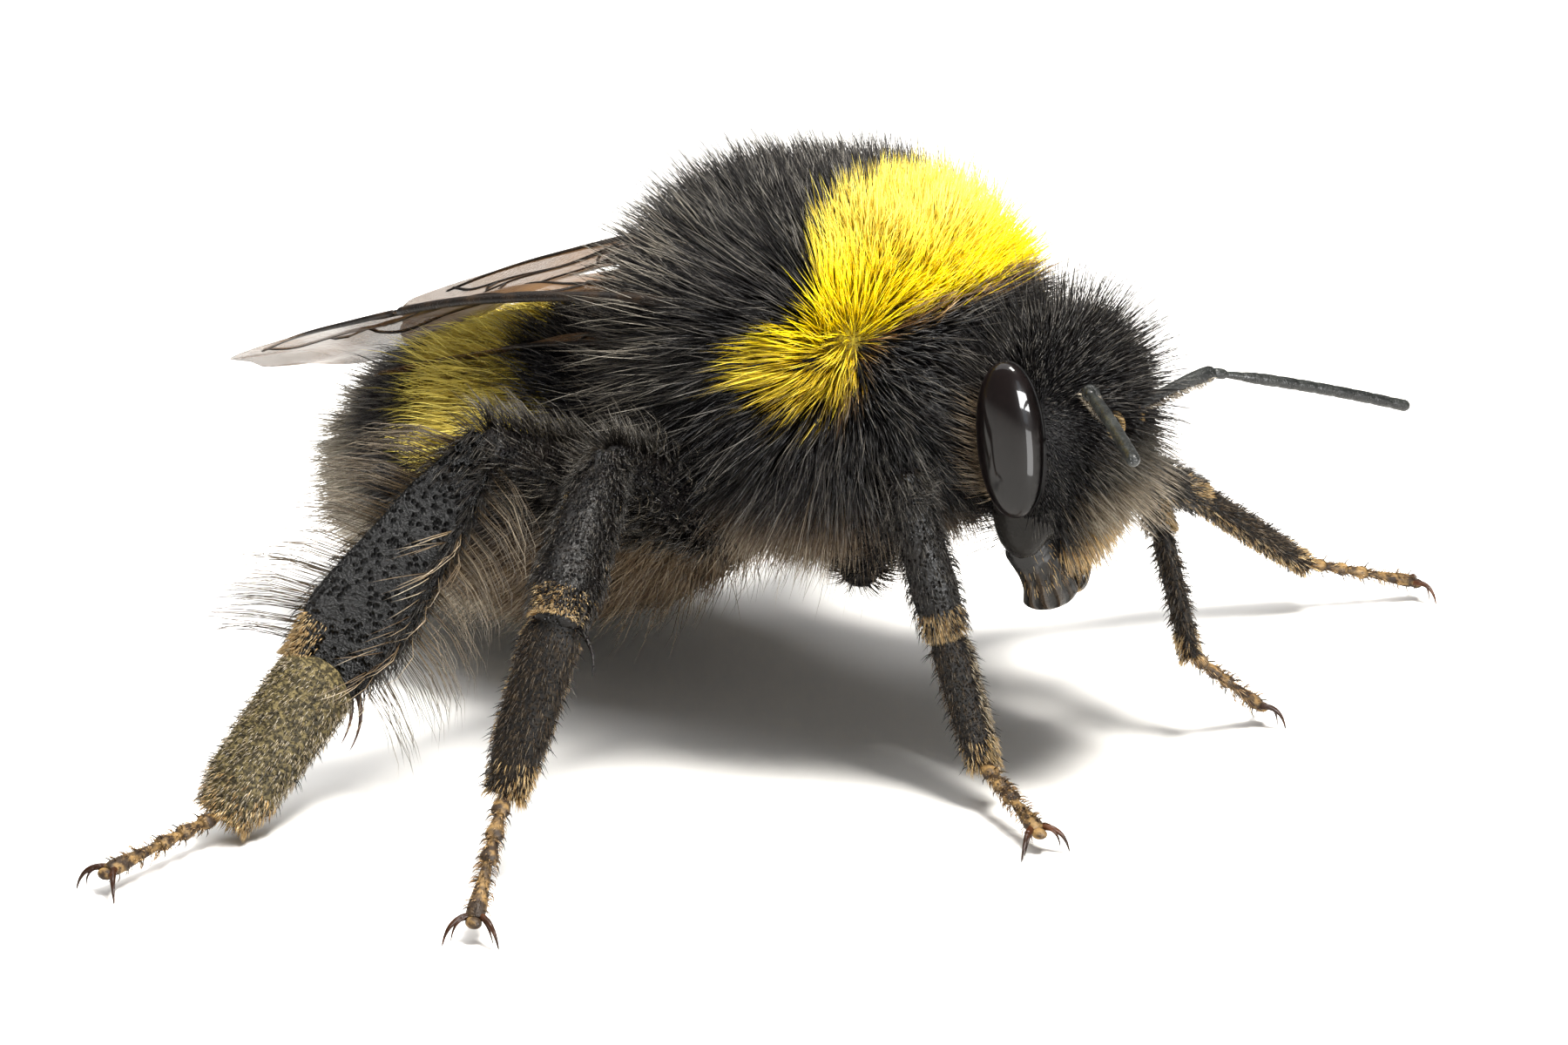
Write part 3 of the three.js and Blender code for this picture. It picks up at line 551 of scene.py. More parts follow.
def eye_finish(name):
    """Deep brown-black glass with a faint honeycomb, bluish where it catches the light."""
    paint = Paint(name, Specular_IOR_Level=0.04, Coat_Weight=0.38, Coat_Roughness=0.06)
    cloud = paint.noise(0.8)
    colour = paint.mix(cloud.between(0.35, 0.7), (0.002, 0.0015, 0.0015), (0.006, 0.004, 0.004))
    facets = paint.cells(34, "DISTANCE_TO_EDGE").between(0.0, 0.2)
    rough = 0.3 + cloud * 0.06
    normal = paint.bump(facets, 0.002, 0.12)
    return paint.finish(Base_Color=colour, Roughness=rough, Normal=normal)


def jaw_finish(name):
    """Black chitin with brown ridges along it and an amber edge at the broad end."""
    paint = Paint(name, Specular_IOR_Level=0.22)
    ridge, end = paint.attribute("ridge"), paint.attribute("end")
    colour = paint.mix(ridge * 0.6, (0.006, 0.0055, 0.005), (0.050, 0.030, 0.014))
    colour = paint.mix(end, colour, (0.40, 0.26, 0.10))
    height = ridge + paint.noise(5) * 0.5
    rough = 0.16 + paint.noise(4) * 0.2
    return paint.finish(Base_Color=colour, Roughness=rough, Normal=paint.bump(height, 0.05))


BRISTLY = (0.5, 22, 0.03, 0.1, 14)
CHITIN = {  # base, patches, roughness; pits in a millimetre, their depth, gloss, patches in one
    "chitin": ((0.004, 0.0035, 0.0033), (0.009, 0.007, 0.006), 0.2, 12, 0.04, 0.15),
    "basket": ((0.0012, 0.0012, 0.0013), (0.003, 0.003, 0.003), 0.04, 8, 0.14, 0.2),
    "rim": ((0.003, 0.0027, 0.0027), (0.006, 0.005, 0.005), 0.4, 12, 0.004, 0.06),
    "feeler": ((0.006, 0.007, 0.0065), (0.018, 0.020, 0.018), 0.28, 22, 0.016, 0.3),
    "socket": ((0.35, 0.22, 0.08), (0.60, 0.44, 0.20), 0.4, 12, 0.01),
    "toes": ((0.032, 0.020, 0.012), (0.25, 0.155, 0.060), 0.4, 20, 0.01, 0.14, 5),
    "front_basitarsus": ((0.006, 0.005, 0.004), (0.020, 0.013, 0.006), *BRISTLY),
    "middle_basitarsus": ((0.006, 0.005, 0.004), (0.022, 0.014, 0.006), *BRISTLY),
    "hind_basitarsus": ((0.030, 0.024, 0.011), (0.17, 0.135, 0.060), *BRISTLY),
    "spur": ((0.025, 0.010, 0.005), (0.09, 0.030, 0.010), 0.2),
    "vein": ((0.006, 0.004, 0.003), (0.022, 0.013, 0.007), 0.35, 16),
}
for name, look in CHITIN.items():
    MATERIALS[name] = chitin_finish(f"bee_{name}", *look)
MATERIALS["eye"] = eye_finish("bee_eye")
MATERIALS["jaw"] = jaw_finish("bee_jaw")
print(sorted(MATERIALS))

# %% [markdown]
# ## One skin
#
# A bee's body is one shell with a narrow neck and waist under the hair. It could be three balls
# that overlap, but then a hard crease would show wherever the coat is thin. Here the balls, a
# neck, a waist and two cheeks are poured into one skin by a voxel remesh, and a few rounds of
# smoothing round off the creases. This works at millimetre scale, before the points move to
# metres, because a voxel can't be much smaller than a tenth of a millimetre in metres.

# %% Pour the forms into one skin
SKIN_VOXEL = 0.12  # the side of a voxel, in millimetres
SKIN_ROUNDS = 6  # of smoothing


def poured(parts, voxel, rounds):
    """One closed skin of quads round overlapping closed shells."""
    points, faces = together(parts)
    mesh = bpy.data.meshes.new("shells")
    mesh.from_pydata(points.tolist(), [], faces.tolist())
    shells = new_object("shells", mesh)
    remesh = shells.modifiers.new("remesh", "REMESH")
    remesh.mode, remesh.voxel_size = "VOXEL", voxel
    relax = shells.modifiers.new("relax", "SMOOTH")
    relax.factor, relax.iterations = 0.5, rounds
    evaluated = shells.evaluated_get(bpy.context.evaluated_depsgraph_get())
    skin = evaluated.to_mesh()
    places = np.empty(len(skin.vertices) * 3, np.float32)
    skin.vertices.foreach_get("co", places)
    corners = np.empty(len(skin.loops), np.int32)
    skin.loops.foreach_get("vertex_index", corners)
    evaluated.to_mesh_clear()
    bpy.data.objects.remove(shells)
    return places.reshape(-1, 3).astype(float), corners.reshape(-1, 4)


NECK = Form([3.3, 0.1, 6.6], [0.9, 0.9, 0.9])
WAIST = Form([-2.5, 0, 5.0], [1.0, 1.3, 1.1])
CHEEK_PLACE, CHEEK_SKIN = [-0.1, 1.35, -1.15], [0.55, 0.42, 0.85]
CHEEKS = [
    Form(on_head(CHEEK_PLACE, side), CHEEK_SKIN, turn=HEAD_TURN) for side in SIDES.values()
]

shells = [form.shell(40, 48) for form in [THORAX, ABDOMEN, SKULL, MUZZLE, NECK, WAIST, *CHEEKS]]
skin_points, skin_faces = poured(shells, SKIN_VOXEL, SKIN_ROUNDS)
print(len(skin_points), "points in the skin")

# %% Mark the skin
def head_place(points):
    """Places along the head's own front, left and up, from its middle."""
    return (points - HEAD_MIDDLE) @ about_z(HEAD_TURN)


def body_values(points):
    """gold, pale, tan and bare for places anywhere on the body, by the nearest form."""
    forms = (THORAX, ABDOMEN, SKULL)
    nearest = np.argmin([form.reach(form.ball(points))[:, 0] for form in forms], 0)
    gold, pale = thorax_marking(THORAX.at(THORAX.ball(points), COAT_LEVEL["thorax"]))
    tail = abdomen_marking(ABDOMEN.at(ABDOMEN.ball(points), COAT_LEVEL["abdomen"]))
    gold = np.where(nearest == 1, tail[0], np.where(nearest == 0, gold, 0))
    pale = np.where(nearest == 1, tail[1], np.where(nearest == 0, pale, 0))
    left, up = head_place(points).T[1:]
    cheek = smooth(np.abs(left), 0.7, 0.9) * smooth(-up, 0.6, 0.85) * (nearest == 2)
    return {"gold": gold, "pale": pale, "tan": 0 * gold, "bare": cheek}


values = body_values(skin_points)
values["shade"] = 0.5 + 0.3 * waves(skin_points, 0.7, 9)
flesh = ("thorax", "abdomen", "head")
add_piece("skin", skin_points, skin_faces, "skin", "dark_coat", replaces=flesh, values=values)

# %% [markdown]
# ## Hairs
#
# A hair is a thin rod with three sides that bends over and ends in a point. A short one needs
# only 10 triangles, so there can be tens of thousands. It stands on the skin at its root, and
# the line from root to tip is its way. Each hair also gets a small square of a texture map, at
# its root's place on an unwrap of the body, so that a bake of the colours has room for it.

# %% The shape of a hair
def way_to(roots, tips):
    """The ways and the distances from roots to tips."""
    return unit(tips - roots), np.linalg.norm(tips - roots, axis=1)


class Hair:
    """A three-sided spike: rings at shares of its length, with shares of its thickness there,
    a triangle that closes the root, and a point."""

    def __init__(self, rows, thick):
        self.rows, self.thick = np.array(rows), np.array(thick)
        self.faces = np.concatenate([[[0, 2, 1]], walls_and_tip(len(rows), 3)])
        self.stations = np.append(np.repeat(self.rows, 3), 1.0)

    def patch(self):
        """Its texture square: along the hair runs across it, round the hair runs up."""
        column = np.append(np.tile(np.arange(3.0), len(self.rows)), 1.5)[self.faces]
        wraps = (column == 0).any(1) & (column == 2).any(1) & (np.arange(len(column)) > 0)
        column = np.where(wraps[:, None] & (column == 0), 3.0, column)
        return np.stack([0.05 + 0.9 * self.stations[self.faces], column / 3], -1) * BAKE_PATCH

    def rods(self, roots, normals, ways, lengths, thick, curl):
        """Points of many hairs. The middle line runs from foot to tip and is pulled towards a
        bend over the root."""
        lengths = lengths[:, None]
        feet = roots - normals * ROOT_DEPTH
        tips = roots + ways * lengths
        bends = roots + unit(normals + ways) * lengths * curl
        line = pulled(feet[:, None], bends[:, None], tips[:, None], self.rows[:, None])
        side = np.cross(ways, normals) + 1e-3 * np.roll(ways, 1, axis=1)
        side = unit(side - ways * (side * ways).sum(1, keepdims=True))
        other = np.cross(ways, side)
        angle = 2 * np.pi * np.arange(3) / 3
        ring = side[:, None] * np.cos(angle)[:, None] + other[:, None] * np.sin(angle)[:, None]
        radius = self.thick[:, None, None] * (thick / 2).reshape(-1, 1, 1, 1)
        rings = line[:, :, None] + ring[:, None] * radius
        return np.concatenate([rings.reshape(len(roots), -1, 3), tips[:, None]], 1)


ROOT_DEPTH = 0.06  # how far a hair starts under the skin
LOWEST_TIP = 0.04  # over the floor
TALL = 10.85  # hair that stands higher than this is laid over by half of what it is too high
BAKE_PATCH = 0.003  # the side of a hair's square, as a share of the map
SHORT = Hair([0.0, 0.5], [1.0, 0.8])
LONG = Hair([0.0, 0.35, 0.72], [1.0, 0.9, 0.6])


def add_hairs(name, roots, normals, ways, lengths, thick, values, unwrap, slot, hair, curl):
    """One piece of coat. values are per hair, and unwrap is each root's place on the map."""
    count = len(roots)
    tips = roots + ways * lengths[:, None]
    too_high = np.maximum(tips[:, 2] - TALL, 0)
    tips[:, 2] = np.maximum(tips[:, 2] - too_high / 2, LOWEST_TIP)
    ways, lengths = way_to(roots, tips)
    points = hair.rods(roots, normals, ways, lengths, np.broadcast_to(thick, count), curl)
    points[..., 2] = np.maximum(points[..., 2], LOWEST_TIP / 2)
    per_hair = points.shape[1]
    faces = (hair.faces + np.arange(count)[:, None, None] * per_hair).reshape(-1, 3)
    values = {key: np.repeat(value, per_hair) for key, value in values.items()}
    values["along"] = np.tile(hair.stations, count)
    uv = unwrap[:, None, None] * (1 - BAKE_PATCH) + hair.patch()
    add_piece(name, points.reshape(-1, 3), faces, "hair", slot, values=values, uv=uv)


print("a short hair has", len(SHORT.faces), "triangles, a long one", len(LONG.faces))

# %% [markdown]
# Roots come from a spiral that turns by the golden angle, which spreads any number of spots
# evenly over a ball without rows or clumps. Every spot has its own place on a map that unrolls
# the ball like a label from a tin: the angle round the body runs one way, the length the other.

# %% Roots on a form
GOLDEN_TURN = np.pi * (3 - 5**0.5)


def even_spots(count, seed):
    """Directions and map places. Spot i lies at length x = 1 - (2i + 1) / count and is turned
    by i golden angles, both shaken a little."""
    random = np.random.default_rng(seed)
    i = np.arange(count)
    x = np.clip(1 - (2 * i + 1 + random.uniform(-0.8, 0.8, count)) / count, -1, 1)
    angle = i * GOLDEN_TURN + random.uniform(-0.5, 0.5, count) * 3.5 / count**0.5
    ring = np.sqrt(1 - x * x)
    places = np.stack([angle / (2 * np.pi) % 1, (x + 1) / 2], 1)
    return np.stack([x, ring * np.cos(angle), ring * np.sin(angle)], 1), places


def split_hairs(total, pieces):
    """Slices that share hairs out among a few pieces."""
    bounds = np.linspace(0, total, pieces + 1).astype(int)
    return [slice(a, b) for a, b in zip(bounds[:-1], bounds[1:])]


SCATTER = 0.13  # how far each hair strays from the way of its neighbours
GUARD_SHARE, GUARD_EXTRA = 0.1, 0.3  # so many hairs are longer by so much


def grow_coat(
    name, count, seed, thick, marking, form, lie, length, keep, clear, slot="dark_coat",
    pieces=1, hair=SHORT, curl=0.45, shine=0.0, raised=0.0, longer=1.0, extra=0.0,
):
    """Covers a form with hair. From roots and normals, lie gives each hair's way, to which a
    share of the normal can be added, length its length, which can be made longer by a factor
    and an extra, and keep tells where hair grows. clear names the forms that a tip stays out
    of, with a margin, and marking gives gold, pale and tan for a tip."""
    random = np.random.default_rng(seed)
    spots, unwrap = even_spots(count, seed)
    roots, normals = form.at(spots), form.normal(spots)
    keeps = keep(roots, normals)
    roots, normals, unwrap = roots[keeps], normals[keeps], unwrap[keeps]
    total = len(roots)
    stray = random.normal(scale=SCATTER, size=(total, 3))
    ways = unit(lie(roots, normals) + raised * normals + stray)
    guard = random.uniform(0, 1, total) < GUARD_SHARE
    lengths = random.uniform(0.55, 1.02, total) + GUARD_EXTRA * guard
    lengths = (longer * length(roots, normals) + extra) * lengths
    tips = roots + ways * lengths[:, None]
    for other, grow in clear:
        tips = other.pushed_out(tips, grow)
    ways, lengths = way_to(roots, tips)
    gold, pale, tan = marking(roots + ways * lengths[:, None])
    # shine lifts a coat's shades: its hairs are lighter, and more of them carry the painted glint
    shade = random.uniform(0, 1, total) ** 1.5 + 0.15 * waves(roots, 0.5, seed) + shine
    values = {"gold": gold, "pale": pale, "tan": tan, "shade": np.clip(shade, 0, 1)}
    for number, part in enumerate(split_hairs(total, pieces), start=1):
        some = {key: value[part] for key, value in values.items()}
        shape = (roots[part], normals[part], ways[part], lengths[part])
        add_hairs(f"{name}_{number}", *shape, thick, some, unwrap[part], slot, hair, curl)


LONG_HAIR = {"hair": LONG, "curl": 0.52, "shine": 0.3}
print("first spots:", even_spots(5, 1)[0].round(2).tolist())

# %% [markdown]
# ## The thorax's coat
#
# On top the pile stands up like velvet. On each side the hair starts from a whorl above the
# shoulder and sweeps away from it, up over the back, backwards under the wing and down to the
# legs.

# %% Thorax coat
WHORL = np.array([2.5, 2.95, 8.4])


def thorax_lie(roots, normals):
    """Normal plus the direction away from the near side's whorl, more so on the sides."""
    side = np.sign(roots[:, 1:2])
    away = roots - WHORL * np.concatenate([np.ones_like(side), side, np.ones_like(side)], 1)
    far = np.linalg.norm(away, axis=1, keepdims=True)
    away = unit(away - normals * (away * normals).sum(1, keepdims=True)) * smooth(far, 0.1, 1.3)
    away[:, 1] *= np.clip(np.abs(roots[:, 1]) / 2.0, 0, 1)
    flank = smooth(np.abs(normals[:, 1]), 0.25, 0.75)[:, None]
    back = np.array([-0.25, 0, 0]) * (1 - flank)
    lie = normals * (1 - 0.3 * flank) + away * (0.12 + 0.72 * flank) + back
    return lie + 0.2 * drift(roots, 1.1, 11) + (0.14 + 0.2 * flank) * drift(roots, 0.45, 18)


def thorax_length(roots, normals):
    """Short on top and in front, longer behind and on the flanks, shortest below."""
    rear = smooth(-normals[:, 0], 0.1, 0.7)
    flank = smooth(np.abs(normals[:, 1]), 0.4, 0.9)
    under = smooth(-normals[:, 2], 0.3, 0.8)
    from_whorl = np.linalg.norm((roots - WHORL) * [1, 0, 1], axis=1)
    near = (1 - smooth(from_whorl, 0.3, 2.2)) * flank
    return 1.12 + 0.42 * rear + 0.3 * flank - 0.25 * under - 0.6 * near


def thorax_values(tips):
    """The collar's marking, with a tan fringe along its front edge, a painted shade that deepens
    the gold towards tan low down on the sides, and tan hair below."""
    gold, pale = thorax_marking(tips)
    ahead = thorax_marking(tips + [-0.22, 0, 0.16])[0]
    patchy = np.clip(0.6 + waves(tips, 0.1, 28), 0, 1)
    fringe = 0.6 * ahead * smooth(tips[:, 0], 1.9, 2.5) * patchy
    # painted shade: low on the sides the gold is deeper and turns towards tan
    deep = smooth(9.0 - tips[:, 2], 0, 1.3) * gold
    tan = np.max([fringe, 0.9 * deep, 0.1 * smooth(4.9 - tips[:, 2], 0, 1)], 0)
    return gold - 0.3 * deep, pale, tan


def long_values(tips):
    """As the short hair, but greyer on the tufts behind each shoulder."""
    gold, pale, tan = thorax_values(tips)
    tuft = smooth(-tips[:, 0], 0.8, 2.2) * smooth(np.abs(tips[:, 1]), 1.6, 2.8)
    return gold, np.maximum(pale, 0.3 * tuft * (1 - gold)), tan


def belly_values(tips):
    """Pale in patches, with a touch of tan."""
    return 0 * tips[:, 0], 0.75 + 0.2 * waves(tips, 0.5, 33), 0.3 + 0 * tips[:, 0]


def thorax_grows(roots, normals):
    """Everywhere but inside abdomen and head and at both ends, and thinner underneath."""
    hidden = ABDOMEN.holds(roots, 0.15) | SKULL.holds(roots, 0.3)
    hidden |= (normals[:, 2] < -0.55) & (waves(roots, 0.05, 25) > 0.25)
    return ~hidden & (normals[:, 0] > -0.93) & (normals[:, 0] < 0.95)


def belly_lie(roots, normals):
    return thorax_lie(roots, normals) + [0, 0, -0.5]


def belly_grows(roots, normals):
    """Low down, between the legs."""
    return thorax_grows(roots, normals) & (normals[:, 2] < -0.25) & (roots[:, 2] < 4.9)


THORAX_COAT = {
    "form": THORAX, "lie": thorax_lie, "length": thorax_length, "keep": thorax_grows,
    "clear": [(SKULL, 0.12), (ABDOMEN, 0.12)],
}
BELLY_COAT = THORAX_COAT | {
    "lie": belly_lie, "length": lambda roots, normals: 1.5, "keep": belly_grows,
}
# each call gives the name, how many spots, a seed, the hairs' thickness and their colours
grow_coat("thorax_coat", 42500, 21, 0.030, thorax_values, pieces=3, **THORAX_COAT)
grow_coat(
    "thorax_long_coat", 6500, 71, 0.019, long_values, raised=0.35, longer=1.3,
    **LONG_HAIR, **THORAX_COAT,
)
grow_coat("thorax_belly_coat", 6000, 74, 0.013, belly_values, hair=LONG, curl=0.55, **BELLY_COAT)

# %% [markdown]
# ## The abdomen's coat
#
# Here the hair lies flatter and points to the tail, one row over the next. It is longest where
# the abdomen meets the thorax and round the tip.

# %% Abdomen coat
TAILWARD = ABDOMEN.matrix @ np.array([-1.0, 0, 0])


class WingRoof:
    """The folded forewings as a height over the plan, which keeps hair tips under them:
    z = 7.29 + 0.337 u + 0.156 v - 0.0135 u^2 - 0.055 uv + 0.011 v^2 with u = x + 7 and
    v = |y| - 2. The inner edge lies at |y| = 0.2 + 0.022 (x + 8.5)^2, and between the two
    wings a tip may stand 0.3 mm higher."""

    def pushed_out(self, points, grow):
        x, y, z = points.T
        u, v = x + 7, np.abs(y) - 2
        height = 7.2887 + 0.3367 * u + 0.1561 * v - 0.0135 * u**2 - 0.055 * u * v + 0.0108 * v**2
        gap = np.where(np.abs(y) > 0.2 + 0.022 * (x + 8.5) ** 2, 0, 0.3)
        under = (x < -2.8) & (x > -12.5) & (np.abs(y) < 3.5)
        return np.stack([x, y, np.where(under, np.minimum(z, height - grow + gap), z)], 1)


def abdomen_lie(roots, normals):
    """Normal plus tailward, with the sides sweeping down a little."""
    ball = ABDOMEN.ball(roots)
    front, side = ball[:, :1], np.abs(ball[:, 1:2])
    upright = 0.42 + 0.35 * smooth(front, 0.35, 0.8) + 0.15 * smooth(-front, 0.6, 0.95)
    down = np.array([0, 0, -0.28]) * smooth(side, 0.3, 0.8)
    lie = normals * upright + TAILWARD + down
    return lie + 0.14 * drift(roots, 1.2, 15) + 0.24 * drift(roots, 0.5, 22)


def abdomen_length(roots, normals):
    """Longer by the thorax and towards the tip."""
    ball = ABDOMEN.ball(roots)
    return 1.05 + 0.3 * smooth(ball[:, 0], 0.3, 0.8) + 0.25 * smooth(-ball[:, 0], 0.4, 0.8)


def abdomen_grows(roots, normals):
    """Everywhere but under the thorax, and a little thinner on the belly."""
    return ~THORAX.holds(roots, 0.2) & ((normals[:, 2] > -0.5) | (waves(roots, 0.05, 26) < 0.3))


def abdomen_values(tips):
    """The bands, with a touch of tan underneath."""
    gold, pale = abdomen_marking(tips)
    return gold, pale, 0.16 * smooth(-ABDOMEN.ball(tips)[:, 2], 0.1, 0.6)


ABDOMEN_COAT = {
    "form": ABDOMEN, "lie": abdomen_lie, "length": abdomen_length, "keep": abdomen_grows,
    "clear": [(THORAX, 0.5), (WingRoof(), 0.14)], "slot": "banded_coat",
}
grow_coat("abdomen_coat", 38000, 31, 0.034, abdomen_values, pieces=3, **ABDOMEN_COAT)
grow_coat(
    "abdomen_long_coat", 4500, 72, 0.02, abdomen_values, raised=0.5, longer=1.25,
    **LONG_HAIR, **ABDOMEN_COAT,
)

# %% [markdown]
# ## The head's coat
#
# The head is small and needs its own coat. On the crown the hair fans forwards and up. Between
# the eyes it is short and hangs down the face, and behind each eye stands a row of short pale
# hair. The eyes and the cheeks are bare, so no tip may end in them.

# %% Head coat
EYE_CLEAR = [(eye, 0.05) for eye in EYES.values()]
SOCKET = [1.1, 0.5, 0.4]  # where a feeler is rooted, by the head's front, left and up


def in_head(vectors):
    """Directions given along the head's front, left and up, in the bee's frame."""
    return np.array(vectors, float) @ about_z(HEAD_TURN).T


def head_lie(roots, normals):
    """Normal plus forwards on the crown, down on the face and up behind."""
    front, left, up = head_place(roots).T
    crown = smooth(up, 0.35, 1.1)[:, None]
    back = smooth(-front, 0.1, 0.4)[:, None]
    over = in_head([[0.25, 0, 0.1]]) * crown
    down = in_head([[0.1, 0, -0.38]]) * (1 - crown) * (1 - back)
    rear = in_head([[-0.2, 0, 0.5]]) * (1 - crown) * back
    return normals + over + down + rear + 0.2 * drift(roots, 0.6, 41)


def head_length(roots, normals):
    """Longest on the crown and shortest beside the eyes."""
    left, up = head_place(roots).T[1:]
    beside_eye = smooth(np.abs(left), 1.15, 1.6)
    return 0.46 + 0.1 * smooth(up, 0.5, 1.3) - 0.26 * beside_eye


def white_patch(front, left, up):
    """1 in the middle of the two pale spots low on the face, 0 away from them."""
    far = np.sqrt((front - 1.25) ** 2 + (np.abs(left) - 0.6) ** 2 + (up + 1.45) ** 2)
    return 1 - smooth(far, 0.22, 0.42)


def head_values(tips):
    """Black, with pale hair behind each eye and low on the face."""
    front, left, up = head_place(tips).T
    behind = smooth(-front, 0.2, 0.5) * smooth(np.abs(left), 1.5, 1.8) * smooth(1.4 - up, 0, 0.5)
    face = smooth(front, 1.3, 1.8) * smooth(-up, -0.4, 0.6)
    edge = smooth(front, 1.0, 1.6) * smooth(-up, 0.6, 1.3)
    beard = white_patch(front, left, up)
    pale = np.maximum(0.24 * behind + 0.2 * face + 0.42 * edge, beard)
    return 0 * front, pale, 0.18 * behind + 0.22 * edge


def head_grows(roots, normals):
    """Everywhere but on the eyes, the cheeks, under muzzle and thorax, and round a socket."""
    front, left, up = head_place(roots).T
    bare = (np.abs(left) > 0.85) & (up < -0.8) & (front < 0.5 - 0.6 * smooth(up, -1.25, -0.85))
    for other, grow in (*EYE_CLEAR, (MUZZLE, 0.0), (THORAX, 0.0)):
        bare |= other.holds(roots, grow)
    socket = np.linalg.norm(np.stack([front, np.abs(left), up], 1) - SOCKET, axis=1)
    return ~bare & (socket > 0.3)


HEAD_COAT = {
    "form": SKULL, "lie": head_lie, "length": head_length, "keep": head_grows,
    "clear": [*EYE_CLEAR, (THORAX, 0.1)],
}
grow_coat("head_coat", 15500, 51, 0.021, head_values, curl=0.3, **HEAD_COAT)
grow_coat(
    "head_long_coat", 4500, 73, 0.014, head_values, raised=0.3, longer=2.1, extra=0.2,
    **LONG_HAIR | {"shine": 0.1}, **HEAD_COAT,
)

# %% Muzzle coat
def muzzle_lie(roots, normals):
    """Down over the mouth and a little forwards."""
    return normals * 0.7 + in_head([[0.25, 0, -0.8]])


def muzzle_length(roots, normals):
    """Longer at the lower edge."""
    return 0.5 + 0.25 * smooth(4.9 - roots[:, 2], 0, 0.5)


def muzzle_grows(roots, normals):
    """The front half, below the face's own hair."""
    front, left, up = head_place(roots).T
    return (front > 0.1) & (up < -0.3) & (np.abs(left) < 1.0) & ~SKULL.holds(roots, -0.05)


def muzzle_values(tips):
    """Tan low down, in patches, with the two white spots over it."""
    front, left, up = head_place(tips).T
    low = smooth(-up + 0.15 * waves(tips, 0.3, 29), 1.45, 1.95)
    patchy = 0.6 + 0.5 * waves(tips, 0.12, 30)
    white = 0.95 * white_patch(front, left, up)
    pale = np.max([0.5 * smooth(front, 0.9, 1.4), white, 0.6 * low * patchy], 0)
    return 0.2 * low * patchy, pale, 0.05 + 0.95 * low


grow_coat(
    "muzzle_coat", 9000, 61, 0.022, muzzle_values, form=MUZZLE, lie=muzzle_lie,
    length=muzzle_length, keep=muzzle_grows, clear=EYE_CLEAR,
)

# %% [markdown]
# ## Tubes along a path
#
# Feelers, jaws, claws, veins and the rims of the eyes are all tubes along a curved path, with a
# width and a depth that change on the way. One sweep makes them all. Its ends close in a pole,
# and where the first and last rings shrink along a circle the end is a round nose.

# %% Sweep
def sweep(path, width, depth, across, sides=16):
    """Points and faces of a tube. Ring i is an ellipse square to the path: its half-width lies
    along `across`, its half-depth along the third direction."""
    width, depth = (np.broadcast_to(size, len(path)) for size in (width, depth))
    way = unit(np.gradient(path, axis=0))
    through = unit(np.cross(np.broadcast_to(across, path.shape), way))
    square = np.cross(way, through)
    angle = 2 * np.pi * np.arange(sides) / sides
    ring = through[:, None] * (np.cos(angle) * depth[:, None])[..., None]
    ring = ring + square[:, None] * (np.sin(angle) * width[:, None])[..., None]
    points, faces = tubes((path[:, None] + ring)[None], path[:1], path[-1:])
    return points, outward(points - path.mean(0), faces)


def bent(start, middle, end, count):
    """So many places on a curve from start to end that is pulled towards the middle."""
    return pulled(start, middle, end, np.linspace(0, 1, count)[:, None])


def noses(count, blunt=0.12):
    """Shares of full width along a path whose two ends are round: sqrt(1 - d^2) near an end."""
    t = np.linspace(0, 1, count)
    near = np.clip(np.minimum(t, 1 - t) / blunt, 0, 1)
    return np.sqrt(np.maximum(1 - (1 - near) ** 2, 1e-4))


print("a nose:", noses(9, 0.3).round(2))

# %% [markdown]
# ## Eyes
#
# The compound eyes are long glossy ovals down the sides of the head, each in a thin raised rim.
# Three small simple eyes, the ocelli, sit like drops on the crown.

# %% Eyes, rims and ocelli
RIM_POINTS = 97
RIM_SHARE = -0.25  # of the eye's thickness
OCELLI = [0.62, 0.0, 1.62], [0.42, 0.38, 1.74], [0.42, -0.38, 1.74]


def eye_rim(name, side):
    """The line where the eye leaves the head: an oval on the eye's own form at a fixed share
    of its thickness."""
    angle = np.linspace(0, 2 * np.pi, RIM_POINTS)
    ring = np.sqrt(1 - RIM_SHARE**2)
    offset = np.full(RIM_POINTS, RIM_SHARE * side)
    return EYES[name].at(np.stack([ring * np.cos(angle), offset, ring * np.sin(angle)], 1), 0.012)


for name, side in SIDES.items():
    shell = EYES[name].shell(72, 96)
    add_piece(f"eye_{name}_lens", *shell, "eye", "eye", replaces=[f"eye_{name}"])
    rim = sweep(eye_rim(name, side), 0.034, 0.03, in_head([0, 1, 0]), 10)
    add_piece(f"eye_{name}_rim", *rim, "rim", "dark_coat")

ocelli = [Form(on_head(place), [0.17, 0.17, 0.15], turn=HEAD_TURN) for place in OCELLI]
add_piece("ocelli", *together([form.shell(16, 20) for form in ocelli]), "eye", "dark_coat")

# %% [markdown]
# ## Feelers
#
# A feeler is a long slender shaft, the scape, a bead at its elbow, and a whip of ten short
# joints in a queen. The joints show as fine rings, because each is a little wider at its end.

# %% Feelers
SCAPE_TIPS = {"left": [6.31, 2.67, 7.14], "right": [6.3, -1.66, 7.87]}
WHIP_TIPS = {"left": [8.57, 6.04, 6.06], "right": [9.03, -4.85, 8.03]}
WHIP_JOINTS = 10
SHAFT_ROWS, BEAD_ROWS, WHIP_ROWS = 40, 12, 160
UP = np.array([0, 0, 1.0])


def lifted(start, end, lift):
    """The middle between two places, raised."""
    return (start + end) / 2 + UP * lift


